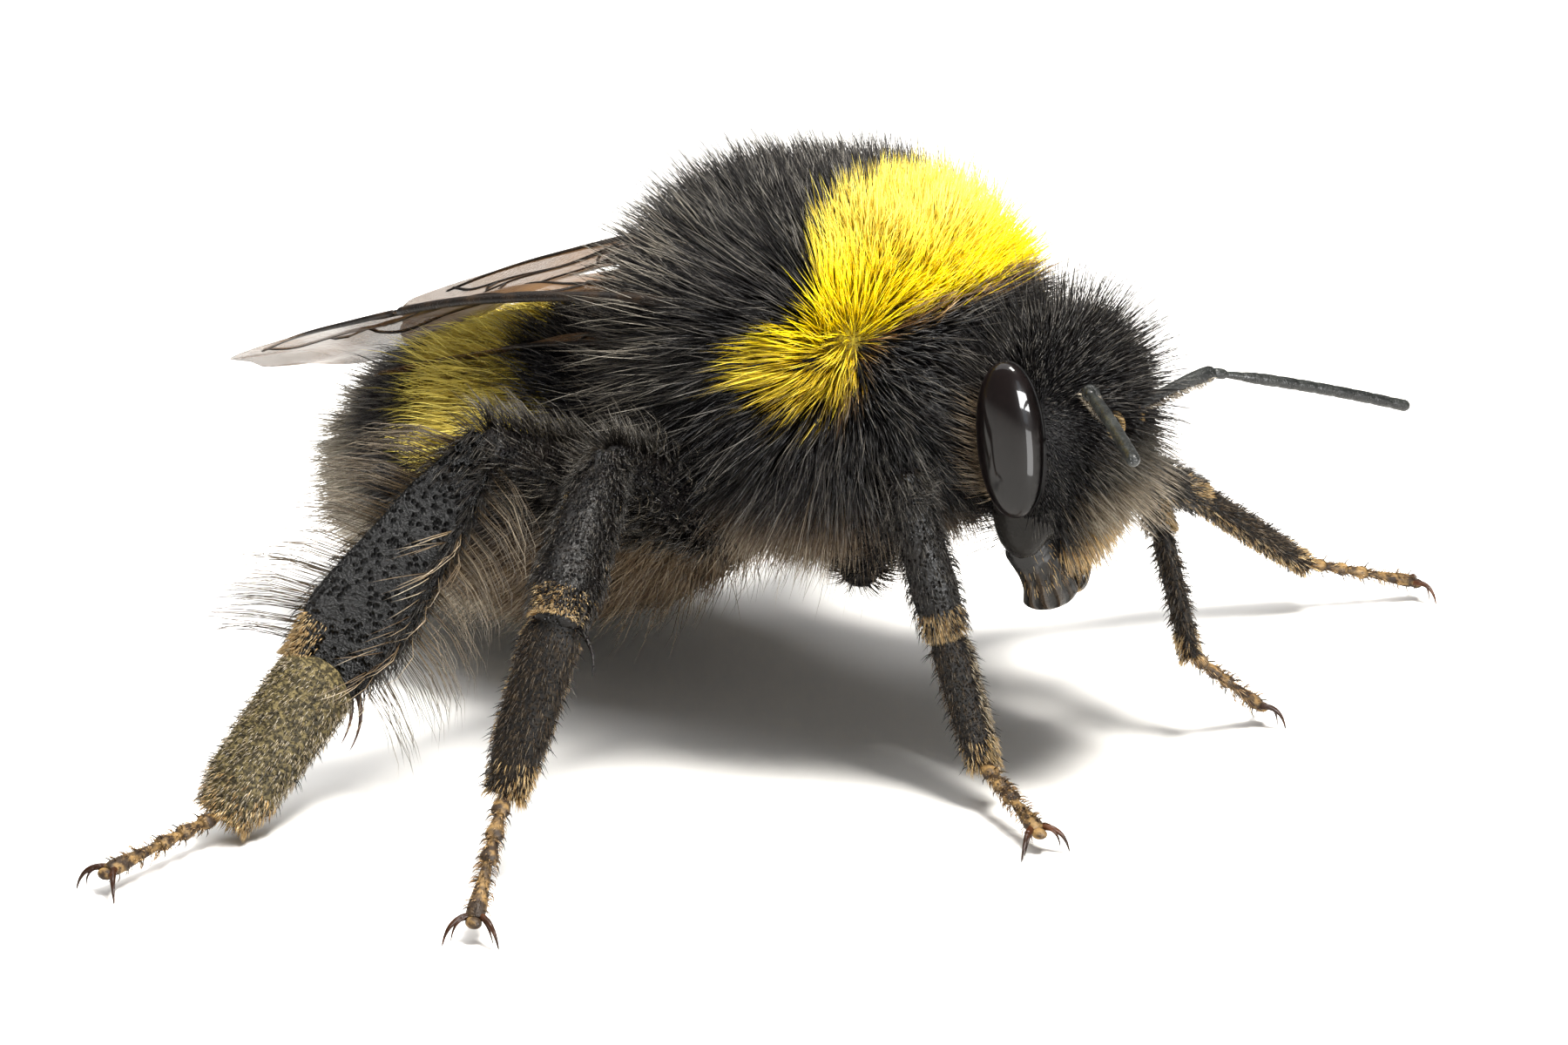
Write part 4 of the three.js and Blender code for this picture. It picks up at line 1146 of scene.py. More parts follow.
for name, side in SIDES.items():
    socket = on_head(SOCKET, side)
    elbow, tip = np.array(SCAPE_TIPS[name]), np.array(WHIP_TIPS[name])
    out = unit(socket - HEAD_MIDDLE)
    beside = unit(np.cross(UP, out))
    angle = np.linspace(0, 2 * np.pi, 33)[:, None]
    circle = beside * np.cos(angle) + np.cross(out, beside) * np.sin(angle)
    ring = sweep(socket + out * 0.13 + 0.2 * circle, 0.05, 0.05, out, 10)
    add_piece(f"socket_{name}", *ring, "socket", "feeler")

    shaft = bent(
        socket + (elbow - socket) * 0.04, lifted(socket, elbow, 0.15), elbow, SHAFT_ROWS
    )
    t = np.linspace(0, 1, SHAFT_ROWS)
    radius = (0.085 + 0.06 * smooth(t, 0.35, 0.95)) * noses(SHAFT_ROWS, 0.05)
    scape = sweep(shaft, radius, radius, np.cross(elbow - socket, UP), 16)
    scape = together([scape, Form(socket, [0.16, 0.16, 0.16]).shell(16, 20)])
    add_piece(f"scape_{name}_shaft", *scape, "feeler", "feeler", replaces=[f"scape_{name}"])

    way = unit(tip - elbow)
    across = np.cross(tip - elbow, UP)
    bead = bent(elbow - way * 0.05, elbow + way * 0.12, elbow + way * 0.3, BEAD_ROWS)
    size = 0.1 * noses(BEAD_ROWS, 0.4)
    whip = bent(elbow + way * 0.2, lifted(elbow, tip, 0.1), tip, WHIP_ROWS)
    t = np.linspace(0, 1, WHIP_ROWS)
    grooves = np.abs(np.cos(np.pi * (t * WHIP_JOINTS))) ** 10
    taper = 0.064 + 0.046 * smooth(t, 0.0, 0.22)
    radius = taper * (1 - 0.08 * grooves) * noses(WHIP_ROWS, 0.03)
    bead, whip = sweep(bead, size, size, across, 14), sweep(whip, radius, radius, across, 18)
    node = f"flagellum_{name}"
    add_piece(f"{node}_whip", *together([bead, whip]), "feeler", "feeler", replaces=[node])

# %% [markdown]
# ## Jaws
#
# The mandibles are two curved spoons that close under the face. Each has long grooves on its
# outside and a thin amber edge at its broad end, and a small lip hangs between them.

# %% Jaws and lip
HINGE, JAW_TIP, JAW_BULGE = [-0.2, 0.95, -1.6], [0.1, 0.36, -3.15], 0.25
JAW_ROWS, JAW_SIDES, JAW_RIDGES = 56, 48, 11


def jaw_line(side):
    """Hinge, tip and the way in which a jaw bulges between them."""
    return on_head(HINGE, side), on_head(JAW_TIP, side), np.array([1, side, 0]) * JAW_BULGE


for name, side in SIDES.items():
    start, end, bulge = jaw_line(side)
    path = bent(start, (start + end) / 2 + bulge, end, JAW_ROWS)
    t = np.linspace(0, 1, JAW_ROWS)
    width = 0.52 - 0.1 * smooth(t, 0.1, 0.5) + 0.08 * smooth(t, 0.6, 0.85)
    width, depth = width * noses(JAW_ROWS, 0.18), (0.25 - 0.08 * t) * noses(JAW_ROWS, 0.1)
    spoon = sweep(path, width, depth, unit(np.array([-side, 1.0, 0])), JAW_SIDES)
    around = np.tile(2 * np.pi * np.arange(JAW_SIDES) / JAW_SIDES, JAW_ROWS)
    ridges = (0.5 + 0.5 * np.cos(JAW_RIDGES * around)) ** 2
    ridges = ridges * np.repeat(smooth(t, 0.3, 0.5), JAW_SIDES)
    amber = np.repeat(smooth(t, 0.93, 1.0), JAW_SIDES)
    add_piece(
        f"mandible_{name}_spoon", *spoon, "jaw", "jaw", replaces=[f"mandible_{name}"],
        values={"ridge": np.pad(ridges, 1), "end": np.pad(amber, 1, constant_values=(0, 1))},
    )

lip = Form(on_head([0.55, 0, -1.95]), [0.2, 0.45, 0.28], turn=HEAD_TURN)
add_piece("lip", *lip.shell(20, 28), "chitin", "dark_coat")

# %% [markdown]
# ## Legs
#
# Six legs have the same plan: a coxa and a small trochanter at the body, then femur, tibia and
# basitarsus, four short toe joints and two claws. The values are those of the solid model, so
# the glossy segments lie inside its rods.

# %% Leg plan
LEG_LENGTHS = {  # of femur, tibia, basitarsus and toes
    "front": [3.05, 2.8, 2.5, 2.05],
    "middle": [3.8, 3.55, 3.1, 2.6],
    "hind": [4.3, 4.8, 3.1, 2.6],
}
LEG_WIDTHS = {  # of femur, tibia and basitarsus: half-widths at shares of the length
    "front": [
        [[0, 0.36], [0.2, 0.42], [0.5, 0.5], [0.95, 0.3]],
        [[0, 0.26], [0.25, 0.36], [0.75, 0.42], [1, 0.36]],
        [[0, 0.2], [0.15, 0.34], [0.7, 0.31], [1, 0.25]],
    ],
    "middle": [
        [[0, 0.4], [0.2, 0.45], [0.5, 0.53], [0.95, 0.34]],
        [[0, 0.3], [0.25, 0.44], [0.8, 0.53], [1, 0.42]],
        [[0, 0.26], [0.12, 0.48], [0.7, 0.45], [1, 0.32]],
    ],
    "hind": [
        [[0, 0.42], [0.2, 0.48], [0.5, 0.6], [0.95, 0.4]],
        [[0, 0.34], [0.3, 0.66], [0.8, 0.96], [1, 0.78]],
        [[0, 0.45], [0.08, 0.76], [0.8, 0.68], [1, 0.48]],
    ],
}
LEG_FLATNESS = [0.85, 0.6, 0.55]  # depth as a share of the width
LEG_FACING = np.array([0.57, 0.73, 0.38])  # where the broad side of a left leg faces
TOE_HEIGHT = 0.4  # of the last joint over the floor
LEGS = {  # the hip, then bearing and rise of each segment
    "front_right": ([1.45, -1.3, 3.6], [(-33, 49), (26, -75), (-4, -69), (-29, None)]),
    "front_left": ([2.0, 1.7, 4.5], [(47, 32), (-32, -46), (6.7, -73.5), (62, None)]),
    "middle_right": ([-1.05, -2.3, 4.15], [(-89, 34), (-67, -29), (-113, -70), (-63, None)]),
    "middle_left": ([-0.1, 1.9, 3.45], [(58, 17), (62, -29), (55, -35), (51, None)]),
    "hind_right": ([-2.5, -2.1, 4.0], [(-108, 29), (-114, -49), (-96, -39), (-92, None)]),
    "hind_left": ([-2.5, 2.1, 4.0], [(106, 27), (112, -47), (99, -40), (90, None)]),
}


def heading(bearing, rise):
    """A unit vector from a bearing (0 ahead, 90 to the left) and a rise, in degrees."""
    b, r = np.radians([bearing, rise])
    return np.array([np.cos(r) * np.cos(b), np.cos(r) * np.sin(b), np.sin(r)])


def leg_joints(kind, hip, way):
    """The joints from hip to foot. The foot's rise follows from its height over the ground."""
    joints = [np.array(hip, float)]
    for length, (bearing, rise) in zip(LEG_LENGTHS[kind], way):
        if rise is None:
            rise = np.degrees(np.arcsin((TOE_HEIGHT - joints[-1][2]) / length))
        joints.append(joints[-1] + length * heading(bearing, rise))
    return joints


for name, (hip, way) in LEGS.items():
    print(name, "foot at", leg_joints(name.split("_")[0], hip, way)[-1].round(2))

# %% [markdown]
# A segment is a flattened tube with round noses. Its surface is a function of the share along
# the segment and the angle round it, so the same function makes the shell and roots the hairs.

# %% One segment
class Segment:
    """A leg segment from one joint to the next. Its half-width follows pairs of (share,
    half-width), eased between the pairs; its depth is a share of its width; its outer face is
    hollowed by the dish."""

    def __init__(self, start, end, widths, flatness, facing, dish=0.0, nose=0.5):
        self.start, self.length = start, np.linalg.norm(end - start)
        self.axis = unit(end - start)
        self.across = unit(np.cross(self.axis, facing))
        self.through = np.cross(self.across, self.axis)
        self.shares, self.halves = np.array(widths, float).T
        self.flatness, self.dish, self.nose = flatness, dish, nose

    def half(self, share):
        i = np.clip(np.searchsorted(self.shares, share) - 1, 0, len(self.shares) - 2)
        low, high = self.shares[i], self.shares[i + 1]
        straight = np.clip((share - low) / (high - low), 0, 1)
        eased = smooth(share, low, high) * 0.5 + 0.5 * straight
        return self.halves[i] + (self.halves[i + 1] - self.halves[i]) * eased

    def at(self, share, angle):
        """A point of the surface; share and angle are arrays of one shape."""
        half = self.half(share)
        outside = np.maximum(np.sin(angle), 0)
        deep = self.flatness * np.sin(angle) - self.dish * outside**2
        offset = self.across * (half * np.cos(angle))[..., None]
        offset = offset + self.through * (half * deep)[..., None]
        return self.start + self.axis * (share * self.length)[..., None] + offset

    def normal(self, share, angle):
        """Square to the surface, from two short steps on it."""
        along = self.at(share + 0.01, angle) - self.at(share - 0.01, angle)
        around = self.at(share, angle + 0.05) - self.at(share, angle - 0.05)
        return unit(np.cross(along, around))

    def shell(self, rows=30, sides=24):
        """The closed tube: the first and last rings shrink along a quarter circle."""
        quarter = np.linspace(0, np.pi / 2, 6)[1:-1]
        sin, cos, still = np.sin(quarter), np.cos(quarter), np.zeros(rows)
        first, last = self.halves[0] * self.nose, self.halves[-1] * self.nose
        full = np.concatenate([sin, still + 1, cos])
        push = np.concatenate([-cos * first, still, sin * last])
        share = np.linspace(self.shares[0], self.shares[-1], rows)
        share = np.pad(share, len(quarter), "edge")
        angle = 2 * np.pi * np.arange(sides) / sides
        grid, angles = np.meshgrid(share, angle, indexing="ij")
        middle = self.start + self.axis * (share * self.length)[:, None]
        rings = middle[:, None] + (self.at(grid, angles) - middle[:, None]) * full[:, None, None]
        rings = rings + self.axis * push[:, None, None]
        ends = middle[[0, -1]] + self.axis * np.array([[-first], [last]])
        points, faces = tubes(rings[None], ends[:1], ends[1:])
        return points, outward(points - self.start, faces)


print("segments ready")

# %% Leg hair
ROUND = (0, 2 * np.pi)


def leg_hairs(
    segment, count, seed, length, upright, span=(0.03, 1.0), angles=ROUND, sideways=0.0,
    patch=False,
):
    """Roots, normals, ways and lengths of hairs that lie along a segment towards its end. A
    patch of hair thins out away from the segment's end and towards both sides."""
    random = np.random.default_rng(seed)
    share = random.uniform(*span, count)
    angle = random.uniform(*angles, count)
    if patch:
        share = span[1] - (span[1] - span[0]) * random.uniform(0, 1, count) ** 1.8
        angle = (angle + random.uniform(*angles, count)) / 2
    roots, normals = segment.at(share, angle), segment.normal(share, angle)
    edge = segment.across * (np.sign(np.cos(angle)) * sideways)[:, None]
    ways = normals * upright + segment.axis + edge + random.normal(scale=0.12, size=(count, 3))
    return roots, normals, unit(ways), length * random.uniform(0.65, 1.1, count), share


GOLDEN = {"tan": 1.6, "gold": 0.12, "pale": 0.42}  # tan over 1 leaves few hairs dark


def leg_coat(name, groups, slot="leg", hair=SHORT, curl=0.45):
    """All hairs of a leg as one piece. Each group is (hairs, colours, thickness). The group and
    the share of the leg give each hair its place on the map."""
    hairs, colours, thick = zip(*groups)
    roots, normals, ways, lengths, shares = (np.concatenate(part) for part in zip(*hairs))
    counts = [len(part[0]) for part in hairs]
    total = sum(counts)
    random = np.random.default_rng(total)
    light = random.uniform(0.3, 1.7, total)
    values = {}
    for key in ("gold", "pale", "tan"):
        value = np.repeat([colour.get(key, 0.0) for colour in colours], counts)
        values[key] = np.clip(value * light, 0, 1)
    values["shade"] = random.uniform(0, 1, total) ** 1.4
    row = np.repeat(np.arange(len(groups)), counts) + random.uniform(0, 1, total)
    unwrap = np.stack([row / len(groups), shares.clip(0, 1)], 1)
    thick = np.repeat(thick, counts)
    add_hairs(name, roots, normals, ways, lengths, thick, values, unwrap, slot, hair, curl)


print("leg hair ready")

# %% Feet
CLAW_SPREAD, CLAW_REACH, CLAW_ARCH = 0.47, 0.3, 0.55
CLAW_ROWS, SPUR_ROWS = 24, 14
HOOKS = (1.0, 0.065, 1.0), (0.62, 0.04, 0.75)  # reach, thickness and spread of claw and tooth
TOE_ENDS = [0.2, 0.39, 0.57, 1.0]
TOE_SHAPE = [[0, 0.08], [0.3, 0.11], [0.88, 0.17], [1, 0.14]]
TOE_SPINES, SPINE_SHARES = 6, [0.17, 0.36, 0.54, 0.93]
FLAT = np.array([1, 1, 0])


def toes(start, end):
    """Three short toe joints and a long last one, each a small cone that widens to its end."""
    parts = []
    for low, high in zip([0, *TOE_ENDS], TOE_ENDS):
        a, b = start + (end - start) * low, start + (end - start) * (high - 0.015)
        parts.append(Segment(a, b, TOE_SHAPE, 0.8, UP, nose=0.4).shell(12, 16))
    return parts


def claws(start, end):
    """Two hooked claws, each with a small inner tooth."""
    ahead = unit((end - start) * FLAT)
    sideways = np.cross(UP, ahead)
    parts = []
    for hand in (1, -1):
        for reach, thick, share in HOOKS:
            out = sideways * hand
            root = end - ahead * 0.12 + out * 0.04
            knuckle = end * FLAT + ahead * CLAW_REACH * 0.8 + out * CLAW_SPREAD * 0.8 * share
            tip = end * FLAT + ahead * CLAW_REACH * reach + out * CLAW_SPREAD * share
            tip = tip + UP * (0.02 + 0.1 * (1 - reach))
            path = bent(root, knuckle + UP * CLAW_ARCH, tip, CLAW_ROWS)
            taper = 1 - 0.85 * np.linspace(0, 1, CLAW_ROWS) ** 1.5
            radius = thick * taper * noses(CLAW_ROWS, 0.04)
            parts.append(sweep(path, radius, radius, sideways, 10))
    return parts


def foot_pad(start, end):
    """The soft pad between the claws."""
    ahead = unit((end - start) * FLAT)
    return Form(end + ahead * 0.05 - UP * 0.04, [0.15, 0.12, 0.1]).shell(10, 14)


def spur(joint, axis, way, length):
    """A thorn at the tibia's end, bent from the way it leaves towards the leg's axis."""
    bend = joint + unit(axis + way) * length * 0.6
    path = bent(joint, bend, joint + (axis + way * 0.35) * length, SPUR_ROWS)
    radius = 0.06 * (1 - 0.9 * np.linspace(0, 1, SPUR_ROWS)) * noses(SPUR_ROWS, 0.06)
    return sweep(path, radius, radius, np.cross(axis, way), 8)


def toe_spines(start, end):
    """Short dark spines round the end of each toe joint, leaning ahead."""
    way = unit(end - start)
    side = unit(np.cross(UP, way))
    up = np.cross(way, side)
    share = np.repeat(SPINE_SHARES, TOE_SPINES)
    angle = np.tile(np.arange(TOE_SPINES) * np.pi / 3 + 0.3, len(SPINE_SHARES))
    out = side * np.cos(angle)[:, None] + up * np.sin(angle)[:, None]
    roots = start + (end - start) * share[:, None] + out * 0.15
    return roots, out, unit(way + out * 0.7), np.full(len(share), 0.2), share


print("a foot has", TOE_SPINES * len(SPINE_SHARES), "spines")

# %% Short hair on the jaws and the feelers' shafts
JAW_WIDTHS, SHAFT_WIDTHS = [[0, 0.3], [0.5, 0.4], [1, 0.4]], [[0, 0.08], [0.5, 0.1], [1, 0.14]]
for number, (name, side) in enumerate(SIDES.items()):
    start, end, bulge = jaw_line(side)
    bulge = bulge * 0.8 * 0.6
    facing = np.array([1.0, side, 0])
    jaw = Segment(start + bulge, end + bulge, JAW_WIDTHS, 0.5, facing)
    shaft = Segment(on_head(SOCKET, side), np.array(SCAPE_TIPS[name]), SHAFT_WIDTHS, 1.0, UP)
    on_jaw = leg_hairs(jaw, 150, 301 + number, 0.22, 0.5, (0.12, 0.6), patch=True)
    on_shaft = leg_hairs(shaft, 420, 303 + number, 0.13, 0.9, (0.05, 0.95), (-np.pi, 0))
    groups = [(on_jaw, GOLDEN, 0.016), (on_shaft, {"tan": 0.4, "pale": 0.8}, 0.014)]
    leg_coat(f"{name}_jaw_and_shaft_coat", groups, slot="feeler")

# %% [markdown]
# The three kinds of legs differ in their hair: how much there is, how long it is and where the
# golden patches lie. A hind tibia is bare outside, with a fringe round its pollen basket.

# %% What differs between the legs
HAIRS = {"front": (900, 1200, 820), "middle": (1500, 1900, 1500), "hind": (1700, 1100, 2300)}
FEMUR_HAIR = {"front": 0.6, "middle": 0.85, "hind": 0.95}
TIBIA_HAIR = {"front": 0.34, "middle": 0.42, "hind": 0.45}
TARSUS_COLOUR = {
    "front": {"tan": 0.08, "pale": 0.05},
    "middle": {"tan": 0.07, "pale": 0.05},
    "hind": {"tan": 0.5, "gold": 0.1, "pale": 0.85},
}
GOLD_END = {"front": (-0.2, np.pi), "middle": (-0.3, np.pi - 0.2), "hind": (-0.4, 0.4 * np.pi)}
STRIPE = {"tan": 0.6, "gold": 0.1, "pale": 0.8}
SPURS = {"front": [], "middle": [0.3], "hind": [0.45, 0.64]}  # off the tibia's middle line
# angles round a segment: where a hind tibia isn't bare, a leg's inner face, and a stripe in front
HAIRY, INSIDE, AHEAD = np.pi * np.array([[0.72, 2.02], [1.05, 1.95], [0.72, 1.2]])
COXA_WIDTHS, TOE_WIDTHS = [[0, 0.42], [0.5, 0.54], [1, 0.5]], [[0, 0.1], [1, 0.2]]
print("spurs:", SPURS)

# %% Hard pieces of a leg
def leg_shells(name, kind, joints, coxa, femur, tibia, basitarsus):
    """All hard pieces of a leg."""

    def add(part, shells, finish, slot, *nodes):
        nodes = [f"{name}_{node}" for node in nodes]
        add_piece(f"{name}_{part}", *together(shells), finish, slot, replaces=nodes)

    hind = kind == "hind"
    knob = Form(joints[0], [0.38, 0.38, 0.38]).shell(20, 24)
    add("femur_chitin", [femur.shell(), coxa.shell(16, 20), knob], "chitin", "leg", "femur")
    add("tibia_chitin", [tibia.shell(40, 28)], "basket" if hind else "chitin", "leg", "tibia")
    add("basitarsus_chitin", [basitarsus.shell()], f"{kind}_basitarsus", "leg", "basitarsus")
    add("toes", [*toes(*joints[3:]), foot_pad(*joints[3:])], "toes", "toes", "tarsus")
    add("claws", claws(*joints[3:]), "spur", "toes")
    end = joints[2] - tibia.through * 0.1
    spurs = [
        spur(end - tibia.across * place, tibia.axis, -tibia.across * 1.6, 0.95)
        for place in SPURS[kind]
    ]
    if spurs:
        add("spurs", spurs, "spur" if hind else "chitin", "toes")


# %% Coat of a leg
def leg_groups(kind, hand, seed, joints, coxa, femur, tibia, basitarsus):
    """The groups of short hair on a leg: hairs, colours and thickness."""

    def hairs(segment, count, number, length, upright, span=(0.03, 1.0), angles=ROUND, patch=False):
        return leg_hairs(
            segment, count, seed + number, length, upright, span, angles, patch=patch
        )

    toe = Segment(joints[3], joints[4], TOE_WIDTHS, 0.9, UP)
    first, second, third = HAIRS[kind]
    bare = HAIRY if kind == "hind" else ROUND
    end = GOLD_END[kind]
    groups = [
        (hairs(coxa, first // 2, 8, 0.8, 0.9, (-0.12, 1.0)), {"pale": 0.05}, 0.02),
        (hairs(femur, first, 0, FEMUR_HAIR[kind], 0.7), {"pale": 0.06}, 0.02),
        (hairs(tibia, 350, 9, 0.42, 0.9, (-0.05, 0.2)), {"pale": 0.06}, 0.02),
        (hairs(tibia, second, 1, TIBIA_HAIR[kind], 0.5, angles=bare), {"pale": 0.03}, 0.02),
        (hairs(tibia, 520, 2, 0.17, 0.7, (0.86, 1.03), end, True), GOLDEN, 0.022),
        (hairs(basitarsus, third, 3, 0.2, 0.4), TARSUS_COLOUR[kind], 0.016),
        (hairs(femur, 260, 15, 0.7, 1.3, (-0.1, 0.08)), {"pale": 0.15}, 0.018),
        (hairs(basitarsus, 380, 6, 0.24, 0.6, (0.8, 1.02), patch=True), GOLDEN, 0.022),
        (hairs(basitarsus, 300, 12, 0.27, 1.3, (0.02, 1.0)), {}, 0.022),
    ]
    if kind != "front":
        groups.append((hairs(tibia, 450, 16, 0.25, 0.5, (0.15, 1.0), INSIDE), GOLDEN, 0.019))
        groups.append((hairs(basitarsus, 600, 14, 0.2, 0.6, angles=INSIDE), GOLDEN, 0.02))
    elif hand == "right":
        groups.append((hairs(basitarsus, 380, 18, 0.2, 0.6, (0.1, 1.0), AHEAD), STRIPE, 0.021))
    groups.append((hairs(toe, 260, 4, 0.15, 0.6, (0.02, 0.9)), {"tan": 0.6, "pale": 0.2}, 0.02))
    return [*groups, (toe_spines(*joints[3:]), {"tan": 0.1}, 0.035)]


def basket_fringe(tibia, seed):
    """Long curved hair along both edges of the pollen basket, and a little that lies over it."""
    fringe = []
    for edge, start in enumerate((-0.15, np.pi - 0.25)):
        angles = (start, start + 0.4)
        hairs = leg_hairs(tibia, 220, seed + 5 + edge, 1.8, 0.3, (0.02, 0.98), angles, 1.35)
        fringe.append((hairs, {"tan": 0.08, "pale": 0.2}, 0.015))
    over = leg_hairs(tibia, 45, seed + 7, 1.25, 0.8, (0.3, 0.98), (0.7 * np.pi, np.pi), -0.7)
    return [*fringe, (over, {"tan": 0.5, "pale": 0.5}, 0.016)]


# %% Build the legs
for number, (name, (hip, way)) in enumerate(LEGS.items()):
    kind, hand = name.split("_")
    joints = leg_joints(kind, hip, way)
    facing = LEG_FACING * [1, SIDES[hand], 1]
    to_body = unit(THORAX.middle - joints[0])
    coxa = Segment(
        joints[0] + to_body * 0.1, joints[0] + to_body * 1.6, COXA_WIDTHS, 0.9, facing
    )
    dishes = (0.0, 0.42 if kind == "hind" else 0.0, 0.0)
    plan = zip(joints, joints[1:], LEG_WIDTHS[kind], LEG_FLATNESS, dishes, (0.5, 0.5, 0.25))
    parts = [
        Segment(a, b, widths, flat, facing, dish, nose)
        for a, b, widths, flat, dish, nose in plan
    ]
    femur, tibia = parts[:2]
    seed = 100 + 10 * number
    leg_shells(name, kind, joints, coxa, *parts)
    leg_coat(f"{name}_hair", leg_groups(kind, hand, seed, joints, coxa, *parts))
    if kind == "hind":
        leg_coat(f"{name}_fringe_coat", basket_fringe(tibia, seed), hair=LONG, curl=0.72)
    if kind != "front":
        fan = leg_hairs(femur, 220, seed + 13, 1.25, 0.8, (0.05, 0.8))
        leg_coat(f"{name}_long_coat", [(fan, {"pale": 0.22}, 0.017)], hair=LONG, curl=0.55)

# %% [markdown]
# ## Wings
#
# A wing is a sheet thinner than paper, smoky brown and clear enough to see the body through.
# Its stiff front edge carries the thick veins, and thinner ones divide it into cells. The sheet
# is a grid: one way runs along the front edge, the other across the wing.

# %% Wing surface
FOREWING = {  # places along the front edge, then widths and droop in degrees by share of it
    "edge": [
        [1.2, -2.75, 7.75], [-0.6, -3.3, 8.5], [-5.4, -3.5, 7.95], [-9.6, -3.3, 6.65],
        [-13.0, -2.75, 5.35],
    ],
    "chord": [
        [0, 0.6], [0.12, 1.5], [0.3, 2.6], [0.5, 3.15], [0.72, 3.25], [0.86, 2.8], [0.95, 1.9],
        [1, 1.0],
    ],
    "droop": [[0, 0], [0.5, 4], [0.72, 12], [1, 24]],
}
HINDWING = {
    "edge": [
        [0.4, -2.5, 6.9], [-1.2, -2.8, 7.5], [-4.4, -2.8, 7.1], [-7.0, -2.7, 6.4],
        [-9.4, -2.4, 5.55],
    ],
    "chord": [[0, 0.5], [0.15, 1.1], [0.4, 1.9], [0.7, 2.0], [0.9, 1.3], [1, 0.7]],
    "droop": [[0, 0], [0.5, 4], [1, 16]],
}
SHEET = 0.016  # how thick the sheet is, in millimetres
EDGE_POINTS, EASING = 241, 25  # places along the front edge, and how many ease the chord


def smooth_line(points, count, steps=80):
    """A curve through points, even along its length. Between two points it is a cubic whose
    slopes there come from their neighbours, spaced by the root of their distance."""
    points = np.array(points, float)
    points = np.vstack([2 * points[0] - points[1], points, 2 * points[-1] - points[-2]])
    t = np.linspace(0, 1, steps)[:, None]
    pieces = []
    for a, b, c, d in zip(points, points[1:], points[2:], points[3:]):
        ab, bc, cd = (np.sqrt(np.linalg.norm(q - p)) for p, q in ((a, b), (b, c), (c, d)))
        slope_b = ((b - a) / ab - (c - a) / (ab + bc) + (c - b) / bc) * bc
        slope_c = ((c - b) / bc - (d - b) / (bc + cd) + (d - c) / cd) * bc
        rise = (3 * t**2 - 2 * t**3) * (c - b)
        pieces.append(b + rise + (t - 2 * t**2 + t**3) * slope_b + (t**3 - t**2) * slope_c)
    line = np.concatenate([piece[:-1] for piece in pieces[:-1]] + [pieces[-1]])
    gone = np.concatenate([[0], np.cumsum(np.linalg.norm(np.diff(line, axis=0), axis=1))])
    even = np.linspace(0, gone[-1], count)
    return np.stack([np.interp(even, gone, line[:, k]) for k in range(3)], 1)


class WingSurface:
    """Places on a wing from u, the share of the front edge, and v, the share across."""

    def __init__(self, plan, side):
        edge, chord, droop = (np.array(plan[key], float) for key in ("edge", "chord", "droop"))
        self.u = np.linspace(0, 1, EDGE_POINTS)
        self.edge = smooth_line(edge * [1, -side, 1], EDGE_POINTS)
        tangent = unit(np.gradient(self.edge, axis=0))
        inward = unit(np.cross(tangent, UP)) * -side
        droop = np.radians(np.interp(self.u, *droop.T))[:, None]
        self.across = inward * np.cos(droop) - UP * np.sin(droop)
        self.out = unit(np.cross(tangent, self.across)) * side
        kernel = np.hanning(EASING) / np.hanning(EASING).sum()
        chord = np.pad(np.interp(self.u, *chord.T), EASING // 2, "edge")
        self.chord = np.convolve(chord, kernel, mode="valid")

    def read(self, table, u):
        return np.stack([np.interp(u, self.u, table[:, k]) for k in range(3)], -1)

    def at(self, u, v, rise=0.0):
        """Two low waves fold the sheet, 0.05 sin(13v + 3u), which fades to the root, and
        0.03 sin(31u + 9v). Both fade to the front edge."""
        u, v = np.broadcast_arrays(np.asarray(u, float), np.asarray(v, float))
        fold = 0.05 * np.sin(v * 13 + u * 3) * smooth(u, 0.05, 0.3) + 0.03 * np.sin(u * 31 + v * 9)
        fold = fold * smooth(v, 0.0, 0.2)
        chord = np.interp(u, self.u, self.chord)[..., None]
        edge, across, out = (self.read(way, u) for way in (self.edge, self.across, self.out))
        return edge + across * v[..., None] * chord + out * (fold + rise)[..., None]


def wing_sheet(surface, rows=120, columns=36):
    """A closed sheet: a grid above and one below. Near the tip v narrows along a quarter circle
    from both edges, which rounds the wing off."""
    u = np.linspace(0, 1, rows)
    tip = np.sqrt(np.clip(1 - ((u - 0.9) / 0.1).clip(0, 1) ** 2, 0.0004, 1))
    v = np.linspace(0, 1, columns)
    low, high = 0.12 * (1 - tip), 1 - 0.88 * (1 - tip)
    grid = low[:, None] + (high - low)[:, None] * v
    above = surface.at(u[:, None], grid, SHEET / 2)
    below = surface.at(u[:, None], grid, -SHEET / 2)
    rings = np.concatenate([above, below[:, ::-1]], 1)
    ends = rings[[0, -1]].mean(1)
    points, faces = tubes(rings[None], ends[:1], ends[1:])
    return points, outward(points - points.mean(0), faces)


def vein(surface, corners, radius, count=60, end=0.35):
    """A tube along the sheet through (u, v) places, thinner towards its end."""
    corners = np.array(corners, float)
    line = smooth_line(np.column_stack([corners, 0 * corners[:, 0]]), count)
    path = surface.at(line[:, 0], line[:, 1], 0.01)
    sizes = radius * (1 - (1 - end) * np.linspace(0, 1, count)) * noses(count, 0.02)
    return sweep(path, sizes, sizes * 0.8, surface.read(surface.across, line[:, 0]), 8)


print("wing helpers ready")

# %% [markdown]
# The sheet's material is mostly clear: its alpha is about a half, with smoky clouds and fine
# wrinkles that catch the light. Veins are dark brown chitin, and the stigma is the dark spot on
# the front edge where the stiff part of the wing ends.

